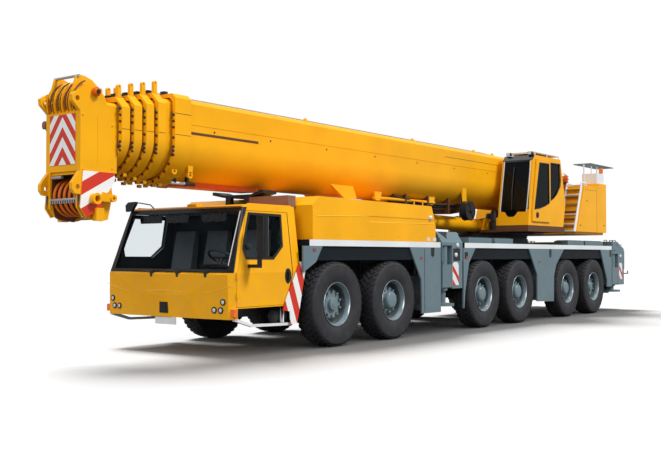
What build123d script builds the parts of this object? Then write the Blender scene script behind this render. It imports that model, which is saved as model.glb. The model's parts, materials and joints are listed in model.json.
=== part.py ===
"""Six-axle all-terrain mobile crane with a five-section telescopic boom.

Lengths are millimetres. +X points forward, +Y left and +Z up. Everything is laid out from the
ground point under the front axle; export() then moves each node so that the origin lies on the
ground under the middle of the stowed crane.
"""
import math
import os

from build123d import *

# ---------------------------------------------------------------- driving dimensions
FRONT_AXLE_X = 4620.0  # front axle, forward of the part's origin
AXLE_X = (0.0, -1650.0, -5000.0, -6650.0, -9250.0, -10900.0)
DRIVEN_AXLES = (2, 3, 4, 5)
HALF_WIDTH = 1450.0  # outer face of the carrier's bodywork
GAP = 6.0  # running gap between pieces that move past each other
PIN_GAP = 0.1  # radial clearance of a pin in its bore

# wheels, knuckles and axles
TYRE_RADIUS = 685.0
TYRE_HALF_WIDTH = 192.0
TREAD_HALF_WIDTH = 168.0
RIM_RADIUS = 352.0
RIM_WALL = 34.0
WHEEL_Y = 1308.0  # wheel's centre plane
KINGPIN_Y = 1020.0
KINGPIN_RADIUS = 45.0
KNUCKLE_HALF_HEIGHT = 170.0
YOKE_THICK = 50.0
SPINDLE_RADIUS = 70.0
DRUM_RADIUS = 285.0
AXLE_TUBE_RADIUS = 90.0
DIFF_RADIUS = 215.0
STRUT_Y = 760.0
STRUT_RADIUS = 62.0

# carrier
DECK_TOP = 1720.0
RAIL_HEIGHT = 100.0
FASCIA_BOTTOM = 1392.0
SHEET = 30.0
FRAME_HALF = 420.0
FLANGE_OVERHANG = 50.0
FLANGE_THICK = 25.0
REAR_X = -13180.0
SLEW_X = -8200.0
RING_RADIUS = 850.0
RING_TOP = 1860.0
REST_TOP = 2465.0  # the boom lies just above this
REST_REAR = 250.0

# outrigger boxes: (front x, rear x, bottom z, top z)
OUTRIGGERS = {"front": (-3350.0, -4150.0, 830.0, 1720.0), "rear": (-12280.0, -13150.0, 680.0, 1840.0)}
BOX_WALL = 20.0
HOOD_RISE = 210.0
TOW_REAR = -13600.0  # rearmost point, on the lashing hooks
BEAM_TRAVEL = 2300.0
BEAM_HEIGHT = 440.0
JACK_RADIUS = 120.0
JACK_ROD_RADIUS = 85.0
JACK_TRAVEL = 650.0
PAD_RADIUS = 260.0
PAD_BOTTOM = 500.0

# driver's cab
CAB_HALF = 1375.0
CAB_WALL = 60.0
CAB_REAR = 840.0
CAB_TUMBLE = 0.13  # how far the cab's upper sides lean inwards, for each millimetre of height
CAB_NOSE = 2410.0
CAB_BOTTOM = 550.0
CAB_ROOF = 2225.0
CAB_FLOOR = 760.0
CAB_REAR_KNEE = (CAB_REAR, 1380.0)
CAB_REAR_FOOT = (1185.0, 682.0)
NOSE_BROW = (2375.0, 1195.0)
SCREEN_BASE = (2310.0, 1215.0)
SCREEN_TOP = (1990.0, 2185.0)
SCREEN_PILLAR = 45.0
CAB_CORNER = 60.0
GLASS = 10.0
DOOR_HINGE_X = 2265.0
DOOR_HINGE = (DOOR_HINGE_X + 3.0, CAB_HALF + 3.0)
HINGE_RADIUS = 14.0
HINGE_LEVELS = ((850.0, 930.0), (1130.0, 1210.0))
NOSE_Z = 880.0
NOSE_INNER = 2290.0
NOSE_FACET_Y = 467.0
NOSE_CORNER_Y = 1285.0
STEP_TOP = 706.0
DOOR_SWING_GAP = 10.0  # extra room behind the door, whose inner edge first moves backwards
LAMP_RADIUS = 45.0
HEADLAMPS = ((1195.0, 800.0), (1030.0, 683.0), (1150.0, 682.0))  # (y, z)

# engine cover
COVER_FRONT = 620.0
COVER_REAR = -3120.0
COVER_TOP = 2410.0
COVER_CREASE = 2130.0  # above it the sides lean in
COVER_LEAN = 18.0

# turntable and crane cab
TABLE_BOTTOM = RING_TOP + 1.0
TABLE_FLOOR = 2000.0
TABLE_THICK = 60.0
CHEEK_Y = 600.0
CHEEK_THICK = 60.0
TAIL_INNER_Y = 720.0
WINCH_AXIS = (-11440.0, 2350.0)
CRANE_CAB_INNER_Y = 690.0
CRANE_CAB_OUTER_Y = 1440.0
CRANE_CAB_FLOOR = 2150.0
CRANE_CAB_ROOF = 3750.0
CRANE_CAB_WALL = 45.0
CRANE_CAB_PIVOT = (-9085.0, CRANE_CAB_FLOOR)
CRANE_PIVOT_RADIUS = 22.0
CRANE_DOOR_TRAVEL = 750.0

# boom: a flat-topped tube with a half-round belly
BOOM_PIVOT = (-10550.0, 3050.0)
BOOM_PIN_RADIUS = 90.0
BOOM_HALF = 560.0
BOOM_AXIS_Z = 3120.0  # centre of the belly's half circle
BOOM_TOP = 3770.0
BOOM_WALL = 12.0
BOOM_STEP = 40.0  # each section is smaller than the one around it by this much on every side
BOOM_REAR = -10850.0
BOOM_FRONT = 2750.0
TELE_REAR = -10250.0
TELE_TRAVEL = 8900.0
BASE_COLLAR_LENGTH = 320.0
COLLAR_FIRST = 300.0  # first telescope's mouth ahead of the base's
COLLAR_PITCH = 185.0
COLLAR_LENGTH = 140.0
COLLAR_THICK = 62.0
COLLAR_CORNER = 150.0
TELESCOPES = 5

# boom head
HEAD_HALF = 370.0
HEAD_PLATE = 60.0
HEAD_PIN_RADIUS = 35.0
HEAD_GAP = 15.0
UPPER_PIN = (4282.0, 3560.0)
LOWER_PIN = (4272.0, 2380.0)
UPPER_SHEAVES = (3975.0, 3530.0)
LOWER_SHEAVES = (3950.0, 2265.0)

# luffing cylinder
LUFF_FOOT = (-7600.0, 2165.0)
LUFF_EYE = (-3420.0, 2245.0)
LUFF_BARREL_RADIUS = 155.0
LUFF_ROD_RADIUS = 105.0
LUFF_PIN_RADIUS = 60.0
LUFF_EYE_ROOM = 320.0  # from the barrel's end to the rod's eye

# joint ranges, in degrees
LUFF_RANGE = 83.0
STEER_RANGE = 30.0


# ---------------------------------------------------------------- small building blocks
def block(x_from, x_to, y_from, y_to, z_from, z_to):
    """Box between two corners."""
    size = Box(abs(x_to - x_from), abs(y_to - y_from), abs(z_to - z_from))
    return Pos((x_from + x_to) / 2, (y_from + y_to) / 2, (z_from + z_to) / 2) * size


def side_prism(outline, y_from, y_to):
    """Extrude an (x, z) outline between two y planes."""
    face = make_face(Polyline([(x, y_to, z) for x, z in outline], close=True))
    return extrude(face, amount=abs(y_to - y_from), dir=(0, -1 if y_to > y_from else 1, 0))


def plan_prism(outline, z_from, z_to):
    """Extrude an (x, y) outline between two z planes."""
    face = make_face(Polyline([(x, y, z_from) for x, y in outline], close=True))
    return extrude(face, amount=z_to - z_from, dir=(0, 0, 1))


def front_prism(outline, x_from, x_to):
    """Extrude a (y, z) outline between two x planes."""
    face = make_face(Polyline([(x_from, y, z) for y, z in outline], close=True))
    return extrude(face, amount=abs(x_to - x_from), dir=(1 if x_to > x_from else -1, 0, 0))


def rod(start, end, radius):
    """Round bar between two points."""
    line = Edge.make_line(start, end)
    plane = Plane(origin=line @ 0, z_dir=line % 0)
    return extrude(plane * Circle(radius), amount=line.length)


def bar_y(x, z, y_from, y_to, radius):
    """Round bar across the crane."""
    return rod((x, min(y_from, y_to), z), (x, max(y_from, y_to), z), radius)


def flipped(part):
    """The same piece on the other side of the crane."""
    return mirror(part, about=Plane.XZ)


def pair(part):
    """A piece and its mirror image."""
    return group(part, flipped(part))


def group(*parts):
    """Solids kept apart in one node."""
    solids = [solid for part in parts for solid in part.solids()]
    return Compound(solids)


def fuse(first, *others):
    """Union of several pieces."""
    return Part() + [first, *others]


def export(name, part):
    """Write one node, moved so that the origin lies under the middle of the crane."""
    moved = Pos(FRONT_AXLE_X, 0, 0) * part
    export_step(Compound(moved.solids()), os.path.join("parts", name + ".step"))


# ---------------------------------------------------------------- running gear
def wheel(driven):
    """Tyre, rim and hub turned as one piece about the wheel's centre, outer face towards +Y."""
    hub_radius = 165.0 if driven else 110.0
    hub_face = 145.0 if driven else 105.0
    disc_face = 40.0
    disc_back = 12.0
    bead = 150.0
    profile = [
        # (radius, distance outward from the centre plane)
        (0, hub_face),
        (0.75 * hub_radius, hub_face),
        (hub_radius, hub_face - 30),
        (hub_radius, disc_face),
        (0.72 * RIM_RADIUS, disc_face),
        (RIM_RADIUS - RIM_WALL, disc_face + 60),
        (RIM_RADIUS - RIM_WALL, bead - 10),
        (RIM_RADIUS, bead + 4),
        (RIM_RADIUS + 14, bead),
        (0.5 * (TYRE_RADIUS + RIM_RADIUS), TYRE_HALF_WIDTH),
        (TYRE_RADIUS - 45, TYRE_HALF_WIDTH - 6),
        (TYRE_RADIUS - 12, TREAD_HALF_WIDTH),
        (TYRE_RADIUS, TREAD_HALF_WIDTH - 40),
        (TYRE_RADIUS, 40 - TREAD_HALF_WIDTH),
        (TYRE_RADIUS - 12, -TREAD_HALF_WIDTH),
        (TYRE_RADIUS - 45, 6 - TYRE_HALF_WIDTH),
        (0.5 * (TYRE_RADIUS + RIM_RADIUS), -TYRE_HALF_WIDTH),
        (RIM_RADIUS + 14, -bead),
        (RIM_RADIUS, -bead - 4),
        (RIM_RADIUS - RIM_WALL, 10 - bead),
        (RIM_RADIUS - RIM_WALL, disc_back),
        (SPINDLE_RADIUS + PIN_GAP, disc_back),
        (SPINDLE_RADIUS + PIN_GAP, hub_face - 30),
        (0, hub_face - 30),
    ]
    face = make_face(Polyline([(r, out, 0) for r, out in profile], close=True))
    body = revolve(face, axis=Axis.Y)
    if driven:
        return body
    studs = [
        Pos(0.5 * RIM_RADIUS * math.cos(a), disc_face, 0.5 * RIM_RADIUS * math.sin(a))
        * Rot(-90, 0, 0)
        * Cylinder(16, 24, align=(Align.CENTER, Align.CENTER, Align.MIN))
        for a in (math.tau * i / 10 for i in range(10))
    ]
    return fuse(body, *studs)


def knuckle(x):
    """Left steering knuckle: kingpin boss, brake drum and spindle."""
    z = TYRE_RADIUS
    boss = rod((x, KINGPIN_Y, z - KNUCKLE_HALF_HEIGHT), (x, KINGPIN_Y, z + KNUCKLE_HALF_HEIGHT), 80)
    web = block(x - 70, x + 70, KINGPIN_Y, WHEEL_Y - 140, z - 110, z + 110)
    drum = bar_y(x, z, WHEEL_Y - 140, WHEEL_Y - GAP, DRUM_RADIUS)
    spindle = bar_y(x, z, WHEEL_Y - GAP, WHEEL_Y + 65, SPINDLE_RADIUS)
    arm = block(x - 300, x - 60, KINGPIN_Y - 30, KINGPIN_Y + 30, z - 100, z - 70)
    bore = rod((x, KINGPIN_Y, z - 300), (x, KINGPIN_Y, z + 300), KINGPIN_RADIUS + PIN_GAP)
    return fuse(boss, web, drum, spindle, arm) - bore


def axle(x, driven):
    """Axle beam with a yoke and kingpin at each end and a suspension strut over each half."""
    z = TYRE_RADIUS
    yoke_top = z + KNUCKLE_HALF_HEIGHT + GAP
    yoke_bottom = z - KNUCKLE_HALF_HEIGHT - GAP
    inner = KINGPIN_Y - 150
    cheek = block(x - 70, x + 70, inner, KINGPIN_Y - 90, yoke_bottom - YOKE_THICK, yoke_top + YOKE_THICK)
    upper = block(x - 70, x + 70, inner, KINGPIN_Y + 60, yoke_top, yoke_top + YOKE_THICK)
    lower = block(x - 70, x + 70, inner, KINGPIN_Y + 60, yoke_bottom - YOKE_THICK, yoke_bottom)
    pin = rod((x, KINGPIN_Y, yoke_bottom - YOKE_THICK), (x, KINGPIN_Y, yoke_top + YOKE_THICK), KINGPIN_RADIUS)
    strut = rod((x, STRUT_Y, z), (x, STRUT_Y, DECK_TOP - RAIL_HEIGHT), STRUT_RADIUS)
    half = fuse(cheek, upper, lower, pin, strut)
    beam = bar_y(x, z, -inner - 10, inner + 10, AXLE_TUBE_RADIUS)
    body = fuse(beam, half, flipped(half))
    if driven:
        body = fuse(body, bar_y(x, z, -230, 230, DIFF_RADIUS))
    return body


# ---------------------------------------------------------------- carrier
def cab_rear_x(z):
    """X of the cab's slanted rear edge at a height."""
    share = (CAB_REAR_KNEE[1] - z) / (CAB_REAR_KNEE[1] - CAB_REAR_FOOT[1])
    return CAB_REAR_KNEE[0] + share * (CAB_REAR_FOOT[0] - CAB_REAR_KNEE[0])


FRAME_TOP = DECK_TOP - RAIL_HEIGHT
FRAME_FRONT_TOP = 1210.0  # lower under the engine
FRAME_LOW = 640.0  # between the axles
FRAME_ARCH = 930.0  # over the axles
FRAME_OUTLINE = [
    # (x, z) of the main frame's side
    (1170, FRAME_LOW), (900, FRAME_LOW), (700, FRAME_ARCH), (-2350, FRAME_ARCH), (-2500, FRAME_LOW),
    (-4250, FRAME_LOW), (-4400, FRAME_ARCH), (-7350, FRAME_ARCH), (-7480, FRAME_LOW),
    (-8550, FRAME_LOW), (-8680, FRAME_ARCH), (-11600, FRAME_ARCH), (-11760, FRAME_LOW),
    (OUTRIGGERS["rear"][1], FRAME_LOW), (OUTRIGGERS["rear"][1], OUTRIGGERS["rear"][2]),
    (OUTRIGGERS["rear"][0], OUTRIGGERS["rear"][2]), (OUTRIGGERS["rear"][0], FRAME_TOP),
    (OUTRIGGERS["front"][1], FRAME_TOP), (OUTRIGGERS["front"][1], OUTRIGGERS["front"][2]),
    (OUTRIGGERS["front"][0], OUTRIGGERS["front"][2]), (OUTRIGGERS["front"][0], FRAME_FRONT_TOP),
    (cab_rear_x(FRAME_FRONT_TOP), FRAME_FRONT_TOP), (cab_rear_x(710), 710),
]


def chassis_frame():
    """Box frame with flanges, the slewing ring's seat, cross members and the rear bumper."""
    web = side_prism(FRAME_OUTLINE, -FRAME_HALF, FRAME_HALF)
    edge = FRAME_HALF + FLANGE_OVERHANG
    flanges = [
        block(OUTRIGGERS["front"][1], OUTRIGGERS["rear"][0], -edge, edge, FRAME_TOP - FLANGE_THICK, FRAME_TOP),
        block(900, OUTRIGGERS["front"][0], -edge, edge, FRAME_FRONT_TOP - FLANGE_THICK, FRAME_FRONT_TOP),
        block(690, -2360, -edge, edge, FRAME_ARCH, FRAME_ARCH + FLANGE_THICK),
        block(-4410, -7340, -edge, edge, FRAME_ARCH, FRAME_ARCH + FLANGE_THICK),
        block(-8690, -11590, -edge, edge, FRAME_ARCH, FRAME_ARCH + FLANGE_THICK),
    ]
    ring = Pos(SLEW_X, 0, 1600) * Cylinder(RING_RADIUS, RING_TOP - 1600, align=(Align.CENTER, Align.CENTER, Align.MIN))
    carriers = [
        block(x - 40, x + 40, -1400, 1400, 1440, 1620) for x in (-4220, -7480, -8520, -11750, -12240)
    ]
    front_carriers = [block(x - 40, x + 40, -930, 930, 1100, FRAME_FRONT_TOP) for x in (650, -2700, -3200)]
    posts = [block(x - 30, x + 30, y - 30, y + 30, FRAME_FRONT_TOP, FRAME_TOP) for x in (650, -2700, -3200) for y in (-900, 900)]
    bumper = side_prism([(-13080, FRAME_LOW + 20), (-13100, 470), (-13180, 430), (-13240, 470), (-13240, FRAME_LOW + 20)],
                        -1000, 1000)
    stay = block(*FLAP_STAY, FRAME_HALF - 10, FLAP_Y, 660, 715)
    return fuse(web, *flanges, ring, *carriers, *front_carriers, *posts, bumper, stay, flipped(stay))


def deck():
    """Walkway plates with their edge rails, the dark fascia over the wheels and the boom rest."""
    rail_bottom = DECK_TOP - RAIL_HEIGHT
    front = block(COVER_FRONT + 80, -3300, -HALF_WIDTH, HALF_WIDTH, rail_bottom, DECK_TOP)
    front -= block(500, -3150, -850, 850, rail_bottom - 1, DECK_TOP + 1)
    rear = block(-4240, -12240, -HALF_WIDTH, HALF_WIDTH, rail_bottom, DECK_TOP)
    ring_hole = Pos(SLEW_X, 0, 1600) * Cylinder(RING_RADIUS + GAP, 400)
    rear -= ring_hole
    fascia_y = (HALF_WIDTH - 2 * SHEET, HALF_WIDTH - SHEET)
    fascia_front = block(500, -2400, *fascia_y, FASCIA_BOTTOM, rail_bottom)
    fascia_mid = block(-4500, -7400, *fascia_y, FASCIA_BOTTOM, rail_bottom)
    fascia_rear = block(-8800, -11700, *fascia_y, FASCIA_BOTTOM, rail_bottom)
    fascias = [fascia_front, fascia_mid, fascia_rear]
    post = block(710, 790, 150, 260, FRAME_FRONT_TOP, REST_TOP - 40)
    rest = block(REST_REAR, 790, -300, 300, REST_TOP - 40, REST_TOP)
    horn = front_prism([(300, REST_TOP - 40), (560, REST_TOP + 10), (560, REST_TOP + 60), (500, REST_TOP + 60),
                        (300, REST_TOP)], 450, 790)
    silencer = fuse(block(640, 830, 300, 1120, 2240, REST_TOP - 50), block(645, 690, 900, 1000, DECK_TOP, 2240))
    walks = group(fuse(front, fascia_front, flipped(fascia_front)),
                  fuse(rear, *fascias[1:], *[flipped(f) for f in fascias[1:]]))
    return group(walks, post, flipped(post), rest, horn, flipped(horn), silencer)


FLAP_Y = 1390.0
FLAP_THICK = 12.0
FLAP_STAY = (985.0, 1045.0)
FLAP_OUTLINE = [
    # (x, z) of the mud flap behind the cab
    (712, 1370), (872, 1370), (1190, 840), (1285, 640), (1120, 620), (1100, 425), (945, 425), (880, 660), (800, 1000),
]
SIDE_PANELS = (
    # (name of the place, outline of (x, z))
    ("cab side", [(850, 1620), (850, 1210), (530, 1370), (364, 1620)]),
    ("front tank", [(-2220, 1620), (-2610, 1020), (-2630, 400), (-3310, 400), (-3310, 1620)]),
    ("behind box", [(-4190, 1620), (-4190, 430), (-4220, 430), (-4260, 760), (-4415, 1320), (-4690, 1620)]),
    ("middle", [(-7170, 1620), (-7600, 1030), (-7600, 430), (-8500, 400), (-8520, 1000), (-8640, 1250), (-9100, 1620)]),
    ("rear", [(-11450, 1620), (-11900, 830), (-11900, 650), (-12240, 650), (-12240, 1620)]),
)


def side_panels():
    """Grey bodywork between the wheels: outer sheets with boxes behind the deep ones."""
    pieces = []
    for _, outline in SIDE_PANELS:
        pieces.append(side_prism(outline, HALF_WIDTH - SHEET, HALF_WIDTH))
    tank = block(-2760, -3300, 700, HALF_WIDTH - SHEET, 450, 1095)
    locker = block(-7680, -8420, 700, HALF_WIDTH - SHEET, 450, 1430)
    pieces[1] = fuse(pieces[1], tank)
    pieces[3] = fuse(pieces[3], locker)
    pieces.append(side_prism(FLAP_OUTLINE, FLAP_Y, FLAP_Y + FLAP_THICK))
    return group(*[pair(piece) for piece in pieces])


def engine_cover():
    """Engine and tank housing behind the cab, with an open underside."""
    outline = [(COVER_FRONT, DECK_TOP), (COVER_FRONT, 2265), (430, COVER_TOP), (-3000, COVER_TOP - 20),
               (COVER_REAR, 2020), (COVER_REAR, DECK_TOP)]
    body = side_prism(outline, -HALF_WIDTH, HALF_WIDTH)
    inner = side_prism([(x - SHEET if x > 0 else x + SHEET, z - SHEET) for x, z in outline],
                       SHEET - HALF_WIDTH, HALF_WIDTH - SHEET)
    lean = front_prism([(HALF_WIDTH, COVER_CREASE), (HALF_WIDTH + 50, COVER_CREASE), (HALF_WIDTH + 50, COVER_TOP + 10),
                        (HALF_WIDTH - COVER_LEAN, COVER_TOP + 10)], COVER_REAR - 10, COVER_FRONT + 10)
    step = side_prism([(-900, COVER_CREASE + 10), (-930, COVER_CREASE - 90), (COVER_REAR - 10, COVER_CREASE - 90),
                       (COVER_REAR - 10, COVER_CREASE + 10)], HALF_WIDTH - 8, HALF_WIDTH + 10)
    return body - inner - lean - flipped(lean) - step - flipped(step)


def engine():
    """Engine and gearbox as one block."""
    return side_prism([(350, 1210), (350, 2150), (-1300, 2150), (-1500, 1700), (-2300, 1600), (-2300, 1210)], -380, 380)


# ---------------------------------------------------------------- outriggers
def box_split(end):
    """X limits of the left and right beams, side by side in one box."""
    front, rear, _, _ = OUTRIGGERS[end]
    middle = (front + rear) / 2
    left = (front - BOX_WALL - GAP, middle + BOX_WALL / 2 + GAP)
    right = (middle - BOX_WALL / 2 - GAP, rear + BOX_WALL + GAP)
    return {"left": left, "right": right}


def beam_bottom(end):
    return OUTRIGGERS[end][2] + BOX_WALL + GAP


def jack_centre(end, side):
    first, last = box_split(end)[side]
    return (first + last) / 2


def jack_top(end):
    """Top of the jack's housing, inside the box."""
    return min(OUTRIGGERS[end][3] - BOX_WALL - 3 * GAP, beam_bottom(end) + JACK_TRAVEL + 150)


def outrigger_box(end):
    """Cross box with two tunnels for the beams and a well at each side for the jack."""
    front, rear, bottom, top = OUTRIGGERS[end]
    body = block(front, rear, -HALF_WIDTH, HALF_WIDTH, bottom, top)
    if end == "front":
        hood = front_prism([(-HALF_WIDTH, top), (HALF_WIDTH, top), (HALF_WIDTH - 137, top + HOOD_RISE),
                            (137 - HALF_WIDTH, top + HOOD_RISE)], rear, front)
        body = fuse(body, hood)
    else:
        slope = side_prism([(front - 370, top), (rear, top - 190), (rear - 10, top + 10), (front - 370, top + 10)],
                           -HALF_WIDTH - 1, HALF_WIDTH + 1)
        hook = fuse(rod((rear + 5, 1400, 975), (TOW_REAR + 14, 1400, 975), 14),
                    rod((TOW_REAR + 14, 1400, 961), (TOW_REAR + 14, 1400, 1050), 14))
        body = fuse(body - slope, hook, flipped(hook))
    for side, sign in (("left", 1), ("right", -1)):
        first, last = box_split(end)[side]
        low = beam_bottom(end) - GAP
        high = low + BEAM_HEIGHT + 2 * GAP
        tunnel = block(first + GAP, last - GAP, -sign * (HALF_WIDTH - BOX_WALL), sign * (HALF_WIDTH + 10), low, high)
        well = block(first + GAP, last - GAP, sign * (HALF_WIDTH - 2 * JACK_RADIUS - 60), sign * (HALF_WIDTH + 10),
                     bottom - 10, jack_top(end) + GAP)
        body = body - tunnel - well
    return body


def outrigger_beam(end, side):
    """Sliding beam with the jack's housing on its outer end."""
    sign = 1 if side == "left" else -1
    first, last = box_split(end)[side]
    x = jack_centre(end, side)
    low = beam_bottom(end)
    shell = block(first, last, -sign * (HALF_WIDTH - BOX_WALL - GAP), sign * (HALF_WIDTH - 2 * JACK_RADIUS), low,
                  low + BEAM_HEIGHT)
    core = block(first - 16, last + 16, -sign * HALF_WIDTH, sign * (HALF_WIDTH - 2 * JACK_RADIUS - 20), low + 16,
                 low + BEAM_HEIGHT - 16)
    y = sign * (HALF_WIDTH - JACK_RADIUS - 20)
    housing = rod((x, y, low - 60), (x, y, jack_top(end)), JACK_RADIUS)
    bore = rod((x, y, low - 61), (x, y, low - 60 + JACK_TRAVEL + 40), JACK_ROD_RADIUS + PIN_GAP)
    plate = block(first, last, sign * (HALF_WIDTH - 45), sign * (HALF_WIDTH - 5), low, low + BEAM_HEIGHT)
    return fuse(shell - core, housing, plate) - bore


def outrigger_jack(end, side):
    """Jack rod with its round foot."""
    sign = 1 if side == "left" else -1
    x = jack_centre(end, side)
    y = sign * (HALF_WIDTH - JACK_RADIUS - 20)
    low = beam_bottom(end)
    ram = rod((x, y, PAD_BOTTOM + 40), (x, y, low - 60 + JACK_TRAVEL), JACK_ROD_RADIUS)
    foot = rod((x, y, PAD_BOTTOM), (x, y, PAD_BOTTOM + 50), min(PAD_RADIUS, HALF_WIDTH - abs(y) + 110))
    return fuse(ram, foot)


# ---------------------------------------------------------------- driver's cab
CAB_LOWER = [
    # (x, z) below the windscreen
    (CAB_NOSE - 25, CAB_BOTTOM), (CAB_NOSE, NOSE_Z), NOSE_BROW, SCREEN_BASE, (CAB_REAR, SCREEN_BASE[1]),
    (cab_rear_x(SCREEN_BASE[1]), SCREEN_BASE[1]), CAB_REAR_FOOT, (CAB_REAR_FOOT[0], CAB_BOTTOM),
]
CAB_UPPER = [
    SCREEN_BASE, SCREEN_TOP, (SCREEN_TOP[0] - 90, CAB_ROOF), (CAB_REAR, CAB_ROOF), CAB_REAR_KNEE,
    (cab_rear_x(SCREEN_BASE[1]), SCREEN_BASE[1]),
]
CAB_INNER = [
    (NOSE_INNER, CAB_FLOOR), (NOSE_INNER, SCREEN_BASE[1] - 35),
    (SCREEN_BASE[0] - SCREEN_PILLAR, SCREEN_BASE[1]), (SCREEN_TOP[0] - SCREEN_PILLAR, SCREEN_TOP[1] - 20),
    (SCREEN_TOP[0] - SCREEN_PILLAR - 60, CAB_ROOF - CAB_WALL), (CAB_REAR + CAB_WALL, CAB_ROOF - CAB_WALL),
    (CAB_REAR + CAB_WALL, 1400), (1280, CAB_FLOOR),
]
DOOR_OUTLINE = [
    (DOOR_HINGE_X, 728), (DOOR_HINGE_X, 1200), (2245, 1250), (1955, 2125), (1030, 2125), (1030, 1200), (1125, 885), (1215, 728),
]
DOOR_WINDOW = [(1905, 2080), (2045, 1700), (2085, 1570), (2040, 1430), (1455, 1430), (1225, 1610), (1190, 2080)]
SCREEN_OPENING = [(-1240, 1262), (1240, 1262), (1170, 2125), (-1170, 2125)]


def cab_side_y(z):
    """Half width of the cab at a height above the foot of the windscreen."""
    return CAB_HALF - CAB_TUMBLE * (z - SCREEN_BASE[1])


def lean_cut(depth):
    """Space outside the left upper side, moved inwards by a depth."""
    foot = SCREEN_BASE[1]
    head = CAB_ROOF + 100
    return front_prism([(cab_side_y(foot) - depth, foot), (CAB_HALF + 100, foot), (CAB_HALF + 100, head),
                        (cab_side_y(head) - depth, head)], CAB_REAR - 100, CAB_NOSE + 100)


def facet_x(y, z):
    """X of the slanted facet at each lower corner of the nose."""
    return CAB_NOSE - 0.06 * (y - NOSE_FACET_Y) + 0.02 * (z - NOSE_Z)


def nose_facet():
    """Solid ahead of the left facet, to cut from the cab's front."""
    corners = [(NOSE_FACET_Y - 450, CAB_BOTTOM - 80), (CAB_HALF + 60, CAB_BOTTOM - 80), (CAB_HALF + 60, SCREEN_BASE[1] + 90),
               (NOSE_FACET_Y - 450, SCREEN_BASE[1] + 90)]
    face = make_face(Polyline([(facet_x(y, z), y, z) for y, z in corners], close=True))
    return extrude(face, amount=200, dir=(1, 0, 0))


def nose_corner():
    """Space outside the slanted left corner of the nose, between the front and the door."""
    run = facet_x(NOSE_CORNER_Y, NOSE_Z) - DOOR_HINGE_X
    rise = CAB_HALF - NOSE_CORNER_Y
    return plan_prism([(DOOR_HINGE_X, CAB_HALF), (DOOR_HINGE_X + 2 * run, CAB_HALF - 2 * rise),
                       (DOOR_HINGE_X + 3 * run, CAB_HALF - 2 * rise), (DOOR_HINGE_X + 3 * run, CAB_HALF + rise),
                       (DOOR_HINGE_X, CAB_HALF + rise)], CAB_BOTTOM - 1, CAB_ROOF)


def cab_body():
    """Outer form of the cab: faceted nose, and an upper part that leans inwards."""
    facet = nose_facet()
    corner = nose_corner()
    upper = side_prism(CAB_UPPER, -CAB_HALF, CAB_HALF) - lean_cut(0) - flipped(lean_cut(0))
    posts = [e for e in upper.edges() if abs(e.center().Y) > 1200 and e.center().X > SCREEN_TOP[0] and e.length > 500]
    upper = fillet(posts, CAB_CORNER) - corner - flipped(corner)
    lower = side_prism(CAB_LOWER, -CAB_HALF, CAB_HALF) - facet - flipped(facet) - corner - flipped(corner)
    return fuse(lower, upper)


def cab_shell():
    inner = side_prism(CAB_INNER, CAB_WALL - CAB_HALF, CAB_HALF - CAB_WALL)
    return cab_body() - (inner - lean_cut(CAB_WALL) - flipped(lean_cut(CAB_WALL)))


def grown(outline, amount, y_from, y_to):
    """Side prism of an outline pushed out (or in) by an amount."""
    face = make_face(Polyline([(x, y_to, z) for x, z in outline], close=True))
    if amount:
        face = offset(face, amount=amount, kind=Kind.INTERSECTION)
    return extrude(face, amount=abs(y_to - y_from), dir=(0, -1, 0))


def driver_cab(shell):
    """Cab shell with door openings, windscreen opening, step and lamps."""
    body = shell
    opening = grown(DOOR_OUTLINE, GAP, cab_side_y(CAB_ROOF) - CAB_WALL, CAB_HALF + 10)
    opening += Pos(-DOOR_SWING_GAP, 0, 0) * opening
    body = body - opening - flipped(opening)
    body = body - front_prism(SCREEN_OPENING, 1700, CAB_NOSE + 50)
    recess = block(CAB_REAR_FOOT[0] - 5, DOOR_HINGE_X - 13, 1000, CAB_HALF + 1, CAB_BOTTOM - 1, STEP_TOP)
    body = body - recess - flipped(recess)
    step = side_prism([(2285, 560), (2285, 528), (1925, 425), (1050, 405), (1050, 445), (1915, 465), (2230, 560)], 1300, 1360)
    hanger = block(1200, 1240, 1310, 1350, 420, STEP_TOP + 5)
    steps = fuse(step, hanger)
    lamps = [
        rod((facet_x(y, z) - 40, side * y, z), (facet_x(y, z) + 12, side * y, z), LAMP_RADIUS)
        for y, z in HEADLAMPS
        for side in (-1, 1)
    ]
    for low, high in HINGE_LEVELS:
        knuckle_room = rod((*DOOR_HINGE, low - GAP), (*DOOR_HINGE, high + GAP), HINGE_RADIUS + 3)
        body = body - knuckle_room - flipped(knuckle_room)
    indicator = block(2268, 2335, 1290, CAB_HALF + 10, 590, 700)
    body = fuse(body, *lamps)
    return fuse(body, steps, flipped(steps), indicator, flipped(indicator))


def windscreen():
    """Pane that fills the windscreen opening."""
    run = SCREEN_BASE[0] - SCREEN_TOP[0]
    rise = SCREEN_TOP[1] - SCREEN_BASE[1]
    length = math.hypot(run, rise)
    inward = (-rise / length, -run / length)
    corners = []
    for depth in (15, 15 + GLASS):
        shift = (inward[0] * depth, inward[1] * depth)
        ends = [(p[0] + shift[0], p[1] + shift[1]) for p in (SCREEN_BASE, SCREEN_TOP)]
        corners.append(ends if depth == 15 else ends[::-1])
    slab = side_prism(corners[0] + corners[1], -CAB_HALF, CAB_HALF)
    return slab & front_prism(SCREEN_OPENING, 1700, CAB_NOSE + 50)


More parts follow.
